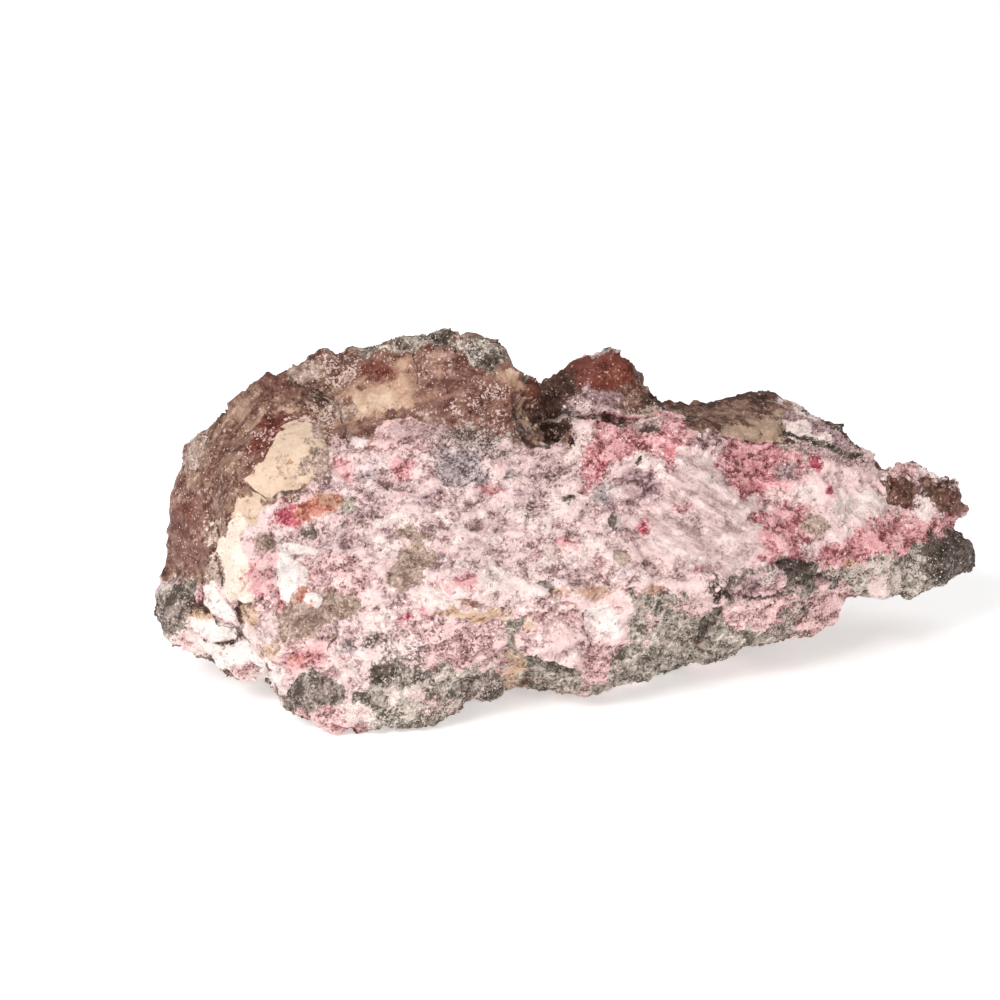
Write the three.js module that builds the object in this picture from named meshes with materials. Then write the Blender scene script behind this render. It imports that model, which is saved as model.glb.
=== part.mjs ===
// Erythrite specimen: one broken block of brown and grey matrix, about 150 mm long, whose sloping
// front carries the pink and white erythrite crust. It grew and broke as one piece, so it is one solid.
// Millimetres. +X runs along the block, +Y to its back, +Z up. The origin is the middle of its
// footprint, at the height of the broken flat that it rests on.
import * as THREE from "three";
import { ConvexHull } from "three/addons/math/ConvexHull.js";
import { ImprovedNoise } from "three/addons/math/ImprovedNoise.js";

// ---- driving dimensions ----
const meshStep = 2.95; // spacing of the faceted surface
const eyeDistance = 505; // the front corners are set out as an eye this far off sees them,
const eyeTilt = THREE.MathUtils.degToRad(18); // this far above the horizon,
const eyeHeight = 34.8; // looking at this height over the resting flat
const cornerRound = 2.6; // how softly the blocks grow into each other
const chipSize = 13; // size of the conchoidal chips that break up the big faces
const chipDepth = 1;
const chipSlope = 0.13;
const chipEdge = 24; // how abruptly one chip gives way to the next
const grainSize = 10; // the finer lumps of the broken surface
const grainDepth = 0.5;

// ---- where things are ----
const [eyeBack, eyeUp] = [eyeDistance * Math.cos(eyeTilt), eyeDistance * Math.sin(eyeTilt)];
const eye = new THREE.Vector3(0, -eyeBack, eyeHeight + eyeUp);
const screenUp = new THREE.Vector3(0, Math.sin(eyeTilt), Math.cos(eyeTilt));

// The line of sight through a place on the screen, which stands square to the eye in the block's middle.
function sight(across, up) {
  const onScreen = new THREE.Vector3(across, 0, eyeHeight).addScaledVector(screenUp, up);
  return onScreen.sub(eye).normalize();
}

// A corner seen at (across, up) on the screen, back millimetres behind the middle of the block.
function seen(across, up, back) {
  const ray = sight(across, up);
  return eye.clone().addScaledVector(ray, (back - eye.y) / ray.y);
}

// A corner of the hidden sides, by its own X, Y and Z.
const at = (x, y, z) => new THREE.Vector3(x, y, z);

// ---- the blocks that the specimen is broken into, each the hull of its corners ----
const blocks = {
  crown: [
    seen(-60.5, -13, 2), seen(-60, -4, 3), seen(-59.5, 0, 3), seen(-58, 5, 4), seen(-56.3, 9.4, 5),
    seen(-53.5, 11.5, 5), seen(-48, 17, 6), seen(-43.5, 21.2, 6), seen(-40, 22.4, 6), seen(-30, 25.4, 8),
    seen(-16, 30.8, 8), seen(-11.5, 32.5, 8), seen(-9, 32.5, 7), seen(-4.5, 30.7, 6), seen(-0.5, 28.5, 5),
    seen(2, 24, 4), seen(3.6, 21, 4), seen(-46, 2, -13), seen(-41, 0, -15), seen(-34, 3, -14),
    seen(-30, 12, -9), seen(-10, 12, -7), seen(3, 10, -5), seen(-50, -5, -12), seen(-47, -15, -18),
    seen(-39, -13, -20), seen(-34, -8, -17), seen(-55, -14, -6), at(-52, 24, 10), at(-36, 6, 6),
    at(-54, 22, 28), at(-47, 26, 44), at(-30, 29, 51), at(-8, 24, 58), at(4, 20, 49), at(0, 30, 30),
  ],
  prow: [
    seen(-41, -38.3, -24), seen(-36, -40.3, -26), seen(-32, -41.9, -27), seen(-14, -41.2, -26),
    seen(-10, -39.2, -24), seen(4, -32.6, -18), seen(-39, -17, -26), seen(-10, -20, -31),
    seen(8, -19, -28), seen(-28, 11, -10), seen(-17, 12.5, -8), seen(3, 9.5, -6),
    seen(-45, -8, -14), at(-43, 9, 0), at(-38, 21, -1), at(-26, 28, -2), at(0, 2, -2),
    at(-42, 27, 18),
    at(-14, 35, 34), at(12, 37, 26), at(12, 36, 10), at(5, 26, -2),
  ],
  breast: [
    seen(4, -32, -19), seen(13, -33.9, -17), seen(20, -34.6, -14), seen(26, -33.6, -11),
    seen(39, -26.8, -6), seen(55, -23.9, 2), seen(61.5, -20, 8), seen(-10, -20, -31),
    seen(8, -19, -28), seen(25, -16, -22), seen(36, -15, -18),
    seen(50, -12.5, -10), seen(62, -13, -2), seen(3, 9.5, -6), seen(15, 12, -4), seen(20, 14, -3),
    seen(30, 13.5, -1), seen(37, 12, 2), seen(45, 11, 6), seen(60, 9.5, 13),
    at(-12, 28, -2), at(5, 3, -2), at(22, 6, -2), at(38, 24, -2), at(28, 32, -2), at(-16, 33, 30),
    at(-2, 38, 28), at(30, 40, 34), at(58, 36, 15), at(58, 34, 28), at(12, 43, 16), at(40, 40, 13),
  ],
  toe: [
    seen(50, -12.5, -10), seen(62, -13, -2), seen(66, -15.8, 8), seen(69, -17.4, 10),
    seen(77, -16, 16), seen(80.5, -16, 19), seen(85, -14.5, 22), seen(87.3, -12.3, 23),
    seen(87.4, -10, 23), seen(84.3, -6.5, 22), seen(72, -9, 6), seen(60, 9.5, 13), seen(66, 6.8, 17),
    seen(70, 3.4, 19), seen(78, -2, 18), seen(45, 11, 6),
    at(84, 33, 18), at(73, 37, 27), at(60, 40, 30), at(76, 37, 15), at(57, 37, 14), at(48, 22, 12),
  ],
  nub: [
    seen(71.6, 4.4, 19), seen(73, 7, 21), seen(75, 7.8, 22), seen(78, 5.6, 24), seen(82, 1.9, 25),
    seen(85.4, 1.2, 26), seen(85.2, -1.6, 25), seen(83.2, -3, 24), seen(70, 2, 14), seen(74, -1, 14),
    seen(78, -3, 16), at(82, 36, 25), at(79, 35, 29), at(84, 33, 21),
  ],
  knob: [
    seen(8.7, 20.8, 13), seen(11, 22.3, 14), seen(14, 25.6, 15), seen(17, 27, 15), seen(23.6, 27.4, 17),
    seen(24.6, 23.5, 16), seen(25.8, 20, 15), seen(8, 12, 6), seen(13, 11, 4), seen(20, 12, 3),
    seen(29, 13, 6), at(8, 31, 40), at(29, 34, 38), at(9, 24, 47), at(23, 26, 53), at(31, 28, 34),
  ],
  mound: [
    seen(25.5, 18.4, 17), seen(43, 18.6, 22), seen(46, 19.6, 23), seen(50, 19.7, 24),
    seen(53, 18, 24), seen(57, 15.5, 24), seen(62, 12, 23), seen(66, 9.2, 22), seen(69, 6.2, 21),
    seen(38, 13, 5), seen(48, 16.5, 13), seen(47, 10.5, 7), seen(60, 9.5, 13), seen(30, 15, 6),
    seen(65, 5, 14), at(24, 38, 36), at(52, 40, 39), at(66, 38, 29), at(40, 44, 28), at(44, 28, 18),
    at(60, 30, 19), at(24, 24, 38),
  ],
  tooth: [
    seen(3, 22, 4), seen(6.2, 23.7, 6), seen(7.6, 23.3, 7), seen(8.8, 20.8, 8), seen(3, 10, -4),
    seen(12, 13, 6), seen(7, 10, -3), at(10, 26, 44), at(0, 24, 44), at(4, 20, 30),
  ],
  heel: [
    seen(-63.8, -20.5, -2), seen(-62.2, -16.5, -1), seen(-60, -14, 0), seen(-62.3, -25.3, -3),
    seen(-58, -26.8, -5), seen(-54, -28.2, -8), seen(-50, -31, -12), seen(-46.5, -33.2, -16),
    seen(-43.5, -32.5, -17), seen(-39.8, -33, -20), seen(-55, -19, -11), seen(-48, -19, -18),
    seen(-40, -17, -25), at(-57, 19, 10), at(-59, 9, 15), at(-51, 24, 9), at(-34, 25, 4),
    at(-42, 24, 8), at(-32, 4, 3), at(-44, 12, 5),
  ],
};

// Each hull as the planes that bound it.
const hulls = Object.values(blocks).map((corners) =>
  new ConvexHull().setFromPoints(corners).faces.map((face) => ({
    normal: face.normal,
    constant: face.constant,
  })),
);

// Distance outside a hull's planes, negative inside.
function outsideHull(planes, p) {
  let most = -Infinity;
  for (const { normal, constant } of planes) most = Math.max(most, normal.dot(p) - constant);
  return most;
}

// The lesser of two distances, rounded where they meet.
function blend(a, b, round) {
  const share = Math.max(round - Math.abs(a - b), 0) / round;
  return Math.min(a, b) - (share * share * round) / 4;
}

const outsideBlocks = (p) =>
  hulls.reduce((least, planes) => blend(least, outsideHull(planes, p), cornerRound), 1e3);

// ---- relief on the front: lumps that rise and grooves that sink along a line on the screen ----
// from and to are [across, up], reach is how wide it is and rise how far it stands out.
const relief = [
  { name: "pale fold", from: [33, 7], to: [46, -10], reach: 12, rise: 1.9 },
  { name: "pink hollow beside the fold", from: [46, 7], to: [55, -8], reach: 7, rise: -2 },
  { name: "crust lip under the crown", from: [-26, 9], to: [-3, 8], reach: 6, rise: 1.4 },
  { name: "groove over the lip", from: [-28, 14], to: [0, 12.5], reach: 6, rise: -2 },
  { name: "hollow in the crown", from: [-26, 20], to: [-14, 19], reach: 9, rise: -2 },
  { name: "crack down the shoulder", from: [-33, 21], to: [-28, 11], reach: 5, rise: -2 },
  { name: "beige facet", from: [-40, 8], to: [-37, 5], reach: 9, rise: 1 },
  { name: "break under the beige facet", from: [-45, 1], to: [-34, 3], reach: 4.5, rise: -1.3 },
  { name: "white rib", from: [-48, -8], to: [-45, -19], reach: 5, rise: 1.6 },
  { name: "hole in the heel", from: [-48, -21], to: [-47, -23], reach: 6, rise: -2.2 },
  { name: "grey heel", from: [-60, -18], to: [-59, -23], reach: 6, rise: 1 },
  { name: "step beside the olive patch", from: [-31, -18], to: [-31, -28], reach: 5, rise: -1.5 },
  { name: "dark lump on the prow", from: [-34, -35], to: [-29, -36], reach: 6, rise: 1.3 },
  { name: "groove over the dark lump", from: [-38, -31], to: [-29, -30], reach: 5, rise: -1.6 },
  { name: "brow", from: [-8, -15], to: [18, -14], reach: 6, rise: 1.2 },
  { name: "long ledge", from: [-12, -21], to: [20, -19.5], reach: 5, rise: -2 },
  { name: "recess", from: [2, -27], to: [4, -32], reach: 6, rise: -2.4 },
  { name: "pink boss", from: [9, -26], to: [16, -29], reach: 7, rise: 1.8 },
  { name: "grey boss", from: [28, -20], to: [26, -27], reach: 8, rise: 2 },
  { name: "gully beside the grey boss", from: [38, -19], to: [34, -29], reach: 6, rise: -2.6 },
  { name: "hollow under the rib", from: [37, -29], to: [44, -27.5], reach: 6, rise: -1.8 },
  { name: "lower rib", from: [46, -22], to: [57, -18], reach: 6, rise: 1.2 },
  { name: "undercut of the rib", from: [59, -22], to: [65, -18], reach: 5, rise: -2.2 },
  { name: "quartz tooth", from: [68.5, -16], to: [69, -18], reach: 4, rise: 1.4 },
  { name: "neck of the nub", from: [70, 3], to: [73, -4], reach: 5, rise: -1.2 },
  { name: "toe swell", from: [80, -11], to: [84, -11], reach: 7, rise: 1 },
  { name: "pit beside the tooth", from: [6, 14], to: [9, 11], reach: 6, rise: -2.6 },
  { name: "shelf before the knob", from: [10, 13.5], to: [26, 14], reach: 5, rise: -1.4 },
  { name: "bead on the shelf", from: [14, 12], to: [15.5, 10.5], reach: 5, rise: 1.5 },
  { name: "notch between heel and prow", from: [-40, -34], to: [-43, -32], reach: 5, rise: -2.2 },
  { name: "saddle beside the knob", from: [30, 17], to: [37, 16], reach: 6, rise: -1.1 },
  { name: "olive ledge", from: [43, 12.5], to: [52, 12], reach: 5, rise: 1 },
];

// The first place where a line of sight meets the blocks.
function onFront([across, up]) {
  const ray = sight(across, up);
  const p = eye.clone().addScaledVector(ray, eyeDistance - 60);
  for (let step = 0; step < 400 && outsideBlocks(p) > 0; step += 1) p.addScaledVector(ray, 0.4);
  return p;
}
const swells = relief.map(({ from, to, reach, rise }) => ({
  line: new THREE.Line3(onFront(from), onFront(to)),
  reach,
  rise,
}));

const nearest = new THREE.Vector3();
function reliefAt(p) {
  let sum = 0;
  for (const { line, reach, rise } of swells) {
    const away = line.closestPointToPoint(p, true, nearest).distanceTo(p) / reach;
    if (away < 1) sum += rise * (1 - away * away) ** 2;
  }
  return sum;
}

// ---- the broken surface ----
// A number from 0 to 1 that belongs to a cell of space.
function cellValue(i, j, k, salt) {
  const s = Math.sin(i * 127.1 + j * 311.7 + k * 74.7 + salt * 53.3) * 43758.5453;
  return s - Math.floor(s);
}

// Chips: every cell of space holds a small flat facet of its own height and slope, and a point
// takes the facets near it, weighted so that one rules up to a narrow edge.
function chipsAt(p) {
  const [x, y, z] = [p.x / chipSize, p.y / chipSize, p.z / chipSize];
  const [ci, cj, ck] = [Math.floor(x), Math.floor(y), Math.floor(z)];
  let [sum, total] = [0, 0];
  for (let i = ci - 1; i <= ci + 1; i += 1)
    for (let j = cj - 1; j <= cj + 1; j += 1)
      for (let k = ck - 1; k <= ck + 1; k += 1) {
        const dx = x - i - cellValue(i, j, k, 0);
        const dy = y - j - cellValue(i, j, k, 1);
        const dz = z - k - cellValue(i, j, k, 2);
        const weight = Math.exp(-chipEdge * (dx * dx + dy * dy + dz * dz));
        const slope = [3, 4, 5].map((salt) => 2 * cellValue(i, j, k, salt) - 1);
        const height = chipDepth * (2 * cellValue(i, j, k, 6) - 1);
        sum += weight * (height + chipSlope * chipSize * (slope[0] * dx + slope[1] * dy + slope[2] * dz));
        total += weight;
      }
  return sum / total;
}

const noise = new ImprovedNoise();
const noiseAt = (p, size) => noise.noise(p.x / size + 9, p.y / size, p.z / size);
const grainAt = (p) => 1 - 2.6 * Math.abs(noiseAt(p, grainSize));

// Distance outside the specimen, negative inside.
function outside(p) {
  const stone = outsideBlocks(p) - reliefAt(p) - chipsAt(p) - grainDepth * (grainAt(p) - 0.35);
  return Math.max(stone, -p.z);
}

// ---- surface: cells of space that the skin crosses hold one vertex for each sheet of it ----
const corners8 = [0, 1, 2, 3, 4, 5, 6, 7].map((n) => [n & 1, (n >> 1) & 1, (n >> 2) & 1]);
const faces6 = [[0, 2, 6, 4], [1, 3, 7, 5], [0, 1, 5, 4], [2, 3, 7, 6], [0, 1, 3, 2], [4, 5, 7, 6]];
const edges12 = [];
for (let a = 0; a < 8; a += 1)
  for (const bit of [1, 2, 4]) if (!(a & bit)) edges12.push([a, a | bit]);
const edgeBetween = (a, b) => edges12.findIndex(([m, n]) => (m === a && n === b) || (m === b && n === a));

// The crossed edges of a cell, grouped into sheets: two crossed edges of a face belong together, and
// where a face has four, each inside corner keeps the two beside it.
function sheetsOf(v) {
  const sheet = edges12.map((_, n) => n);
  const join = (a, b) => {
    const [old, kept] = [sheet[a], sheet[b]];
    sheet.forEach((s, n) => {
      if (s === old) sheet[n] = kept;
    });
  };
  for (const ring of faces6) {
    const rim = ring.map((a, n) => edgeBetween(a, ring[(n + 1) % 4]));
    const crossed = rim.filter((e) => v[edges12[e][0]] < 0 !== v[edges12[e][1]] < 0);
    if (crossed.length === 2) join(crossed[0], crossed[1]);
    if (crossed.length === 4)
      ring.forEach((a, n) => {
        if (v[a] < 0) join(rim[n], rim[(n + 3) % 4]);
      });
  }
  const groups = new Map();
  edges12.forEach(([a, b], e) => {
    if (v[a] < 0 === v[b] < 0) return;
    if (!groups.has(sheet[e])) groups.set(sheet[e], []);
    groups.get(sheet[e]).push(e);
  });
  return [...groups.values()];
}

function skin() {
  const box = new THREE.Box3().setFromPoints(Object.values(blocks).flat()).expandByScalar(3 * meshStep);
  box.min.z = -1.5 * meshStep;
  const size = box.getSize(new THREE.Vector3()).divideScalar(meshStep).ceil();
  const [nx, ny, nz] = [size.x + 1, size.y + 1, size.z + 1];
  const index = (i, j, k) => i + nx * (j + ny * k);
  const place = (i, j, k) => new THREE.Vector3(i, j, k).multiplyScalar(meshStep).add(box.min);
  const value = new Float64Array(nx * ny * nz);
  for (let k = 0; k < nz; k += 1)
    for (let j = 0; j < ny; j += 1)
      for (let i = 0; i < nx; i += 1) value[index(i, j, k)] = outside(place(i, j, k)) || 1e-6;

  const vertices = [];
  const vertexOf = new Map(); // by cell and edge
  for (let k = 0; k < nz - 1; k += 1)
    for (let j = 0; j < ny - 1; j += 1)
      for (let i = 0; i < nx - 1; i += 1) {
        const v = corners8.map(([a, b, c]) => value[index(i + a, j + b, k + c)]);
        if (v.every((x) => x > 0) || v.every((x) => x < 0)) continue;
        for (const sheet of sheetsOf(v)) {
          const sum = new THREE.Vector3();
          for (const e of sheet) {
            const [a, b] = edges12[e];
            const from = place(i + corners8[a][0], j + corners8[a][1], k + corners8[a][2]);
            const to = place(i + corners8[b][0], j + corners8[b][1], k + corners8[b][2]);
            sum.add(from.lerp(to, v[a] / (v[a] - v[b])));
            vertexOf.set(12 * index(i, j, k) + e, vertices.length);
          }
          vertices.push(sum.divideScalar(sheet.length));
        }
      }

  const triangles = [];
  for (let k = 1; k < nz - 1; k += 1)
    for (let j = 1; j < ny - 1; j += 1)
      for (let i = 1; i < nx - 1; i += 1)
        for (let axis = 0; axis < 3; axis += 1) {
          const [along, side, rise] = [1 << axis, 1 << (axis + 1) % 3, 1 << (axis + 2) % 3];
          const here = value[index(i, j, k)];
          const [di, dj, dk] = corners8[along];
          if (here < 0 === value[index(i + di, j + dj, k + dk)] < 0) continue;
          const ring = [0, side, side | rise, rise].map((corner) => {
            const [a, b, c] = corners8[corner];
            const edge = edgeBetween(corner, corner | along);
            return vertexOf.get(12 * index(i - a, j - b, k - c) + edge);
          });
          if (here > 0) ring.reverse();
          const [a, b, c, d] = ring;
          const span = (m, n) => vertices[m].distanceToSquared(vertices[n]);
          if (span(a, c) < span(b, d)) triangles.push(a, b, c, a, c, d);
          else triangles.push(b, c, d, b, d, a);
        }
  return { vertices, triangles };
}

// Slides each vertex to the middle of its neighbours and back onto the surface, which evens the facets.
function relax(vertices, triangles, rounds) {
  const sums = vertices.map(() => new THREE.Vector3());
  const counts = new Uint16Array(vertices.length);
  for (let round = 0; round < rounds; round += 1) {
    sums.forEach((sum) => sum.set(0, 0, 0));
    counts.fill(0);
    for (let n = 0; n < triangles.length; n += 1) {
      const next = triangles[n % 3 === 2 ? n - 2 : n + 1];
      sums[triangles[n]].add(vertices[next]);
      counts[triangles[n]] += 1;
    }
    vertices.forEach((v, n) => {
      const onFlat = v.z < 1e-3;
      v.lerp(sums[n].divideScalar(counts[n]), 0.5);
      if (onFlat) v.z = 0;
      else settle(v);
    });
  }
}

const probe = 0.3;
function settle(v) {
  for (let step = 0; step < 2; step += 1) {
    const here = outside(v);
    const slope = new THREE.Vector3(
      outside(at(v.x + probe, v.y, v.z)) - outside(at(v.x - probe, v.y, v.z)),
      outside(at(v.x, v.y + probe, v.z)) - outside(at(v.x, v.y - probe, v.z)),
      outside(at(v.x, v.y, v.z + probe)) - outside(at(v.x, v.y, v.z - probe)),
    ).divideScalar(2 * probe);
    const most = 0.4 * meshStep;
    const move = THREE.MathUtils.clamp(-here / Math.max(slope.lengthSq(), 0.3), -most, most);
    v.addScaledVector(slope, move);
  }
  v.z = Math.max(v.z, 0);
}

function specimenGeometry() {
  const { vertices, triangles } = skin();
  relax(vertices, triangles, 3);
  const box = new THREE.Box3().setFromPoints(vertices);
  const middle = box.getCenter(new THREE.Vector3()).setZ(box.min.z);
  const geometry = new THREE.BufferGeometry().setFromPoints(vertices.map((v) => v.sub(middle)));
  geometry.setIndex(triangles);
  geometry.computeVertexNormals();
  return geometry;
}

const erythriteRock = new THREE.Mesh(
  specimenGeometry(),
  new THREE.MeshStandardMaterial({ color: 0xb98f8d, roughness: 0.9, metalness: 0 }),
);
erythriteRock.name = "erythrite_rock";

const specimen = new THREE.Group();
specimen.add(erythriteRock);
export default specimen;
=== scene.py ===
import math

import bmesh
import bpy
import numpy as np
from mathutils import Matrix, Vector, noise


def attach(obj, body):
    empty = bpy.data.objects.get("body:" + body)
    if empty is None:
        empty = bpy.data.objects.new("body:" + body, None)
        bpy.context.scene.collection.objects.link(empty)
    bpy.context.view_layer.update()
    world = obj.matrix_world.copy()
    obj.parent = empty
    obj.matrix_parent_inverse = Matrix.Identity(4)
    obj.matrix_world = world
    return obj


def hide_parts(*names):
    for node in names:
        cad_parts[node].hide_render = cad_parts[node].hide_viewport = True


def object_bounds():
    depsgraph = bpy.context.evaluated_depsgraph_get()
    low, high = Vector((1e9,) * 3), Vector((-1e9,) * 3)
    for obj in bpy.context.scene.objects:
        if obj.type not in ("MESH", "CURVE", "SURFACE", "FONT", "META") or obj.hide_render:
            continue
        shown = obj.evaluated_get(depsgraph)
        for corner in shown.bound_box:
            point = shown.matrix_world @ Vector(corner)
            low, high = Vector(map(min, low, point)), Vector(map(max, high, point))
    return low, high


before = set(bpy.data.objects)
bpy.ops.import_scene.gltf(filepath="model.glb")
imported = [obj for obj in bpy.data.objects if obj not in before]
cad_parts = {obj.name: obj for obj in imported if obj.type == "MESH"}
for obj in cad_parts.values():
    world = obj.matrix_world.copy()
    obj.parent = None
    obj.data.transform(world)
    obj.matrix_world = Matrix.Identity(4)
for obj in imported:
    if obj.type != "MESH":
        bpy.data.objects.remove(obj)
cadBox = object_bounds()
cadLow, cadHigh = (np.array([float(c) for c in corner]) for corner in cadBox)
mm = 0.001
print("frame loaded")

# The camera comes first, because the zones of colour are laid out as it sees them.
shot = {
    "aim": (-13.80, -6.56, 34.8),  # mm
    "distance": 505,
    "tilt": 18,  # degrees above the horizon
    "lens": 100,
    "sensor": 36,
}
tilt = math.radians(shot["tilt"])
towardsEye = np.array([0, -math.cos(tilt), math.sin(tilt)])
screenUp = np.array([0, math.sin(tilt), math.cos(tilt)])
eye = np.array(shot["aim"]) + shot["distance"] * towardsEye

cameraData = bpy.data.cameras.new("camera")
cameraData.lens, cameraData.sensor_width = shot["lens"], shot["sensor"]
cameraData.clip_start, cameraData.clip_end = 0.01, 20
camera = bpy.data.objects.new("camera", cameraData)
bpy.context.scene.collection.objects.link(camera)
camera.location = Vector(eye) * mm
camera.rotation_euler = (math.radians(90) - tilt, 0, 0)
bpy.context.scene.camera = camera


def onScreen(points):
    # Millimetres across and up from the aim, in the plane through it that faces the camera.
    away = points - eye
    near = shot["distance"] / (away @ -towardsEye)
    return away[:, 0] * near, away @ screenUp * near


def smoothstep(low, high, value):
    t = np.clip((value - low) / (high - low), 0, 1)
    return t * t * (3 - 2 * t)


def noiseField(points, size, offset=0.0):
    # Smooth noise from about -1 to 1, with lumps of the given size in mm.
    shift = Vector((offset, offset * 0.7, -offset))
    return np.array([noise.noise(Vector(p) / size + shift) for p in points])


# Building blocks for node trees. They all add to the tree that startTree was last given.
sheet = {}


def startTree(tree):
    sheet["tree"] = tree
    return tree


def put(kind, inputs=None, **settings):
    # Adds a node and gives back its first output in use.
    node = sheet["tree"].nodes.new(kind)
    for key, value in settings.items():
        setattr(node, key, value)
    for key, value in (inputs or {}).items():
        if isinstance(key, int):
            socket = node.inputs[key]
        else:
            socket = next(s for s in node.inputs if s.name == key and s.enabled)
        if isinstance(value, bpy.types.NodeSocket):
            sheet["tree"].links.new(value, socket)
        else:
            socket.default_value = value
    return next((s for s in node.outputs if s.enabled), node)


def calc(operation, a, b=0.0, c=0.0, clamp=False):
    return put("ShaderNodeMath", {0: a, 1: b, 2: c}, operation=operation, use_clamp=clamp)


def plus(first, *others):
    for other in others:
        first = calc("ADD", first, other)
    return first


def minus(a, b, clamp=False):
    return calc("SUBTRACT", a, b, clamp=clamp)


def times(a, b):
    return calc("MULTIPLY", a, b)


def spread(value, amount, middle=.5):
    return times(minus(value, middle), amount)


def mapTo(value, low, high, toLow=0.0, toHigh=1.0, smooth=False):
    return put("ShaderNodeMapRange",
               {"Value": value, "From Min": low, "From Max": high, "To Min": toLow, "To Max": toHigh},
               interpolation_type="SMOOTHSTEP" if smooth else "LINEAR")


def vector(operation, a, b=None, scale=None):
    inputs = {0: a}
    if b is not None:
        inputs[1] = b
    if scale is not None:
        inputs["Scale"] = scale
    return put("ShaderNodeVectorMath", inputs, operation=operation)


def shove(colour, reach):
    # Turns a noise colour into a push of up to half the reach each way.
    return vector("SCALE", vector("SUBTRACT", colour, (.5, .5, .5)), scale=reach)


def leanOver(place, angle):
    return put("ShaderNodeVectorRotate", {"Vector": place, "Axis": (0, 1, 0), "Angle": angle},
               rotation_type="AXIS_ANGLE")


def cloud(place, size, detail=2.0, rough=0.5, shift=0.0):
    moved = vector("ADD", place, (shift, -shift, shift * 0.6)) if shift else place
    return put("ShaderNodeTexNoise", {"Vector": moved, "Scale": 1 / size, "Detail": detail, "Roughness": rough})


def cells(place, size):
    return put("ShaderNodeTexVoronoi", {"Vector": place, "Scale": 1 / size}, feature="F1").node


def split(colour):
    return list(put("ShaderNodeSeparateColor", {0: colour}).node.outputs)


def stored(geometry, name, value):
    return put("GeometryNodeStoreNamedAttribute", {"Geometry": geometry, "Name": name, "Value": value},
               data_type="FLOAT", domain="POINT")


def namedField(name):
    return put("GeometryNodeInputNamedAttribute", {"Name": name}, data_type="FLOAT")


def meshTree(name, given, made):
    # A Geometry Nodes tree that takes the stone and the given numbers, and gives one geometry.
    tree = startTree(bpy.data.node_groups.new(name, "GeometryNodeTree"))
    tree.interface.new_socket("Stone", in_out="INPUT", socket_type="NodeSocketGeometry")
    for title in given:
        kind = "NodeSocketInt" if title == "Seed" else "NodeSocketFloat"
        tree.interface.new_socket(title, in_out="INPUT", socket_type=kind)
    tree.interface.new_socket(made, in_out="OUTPUT", socket_type="NodeSocketGeometry")
    return tree, tree.nodes.new("NodeGroupInput").outputs


def finishTree(geometry, name, material):
    real = put("GeometryNodeRealizeInstances", {"Geometry": geometry})
    put("NodeGroupOutput", {name: put("GeometryNodeSetMaterial", {"Geometry": real, "Material": material})})


# Finishes. Each one has how grainy and how rough it is, how much of the crust's lumpy relief it
# wears, how gently it ends, how far it is broken up by what lies around it, and five tones from
# the darkest grains to the palest. Some are patchy too, or streaked along a lean in degrees from
# upright.
# The streaks of chalk and silk are painted light and shade along the folds; those of olive and ash are partly pale
# streaks in the rock and partly painted light and shade along the ribs.
def look(grainy, rough, coat, soft, mixed, tones, **more):
    return {"grainy": grainy, "rough": rough, "coat": coat, "soft": soft, "mixed": mixed, "tones": tones, **more}


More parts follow.
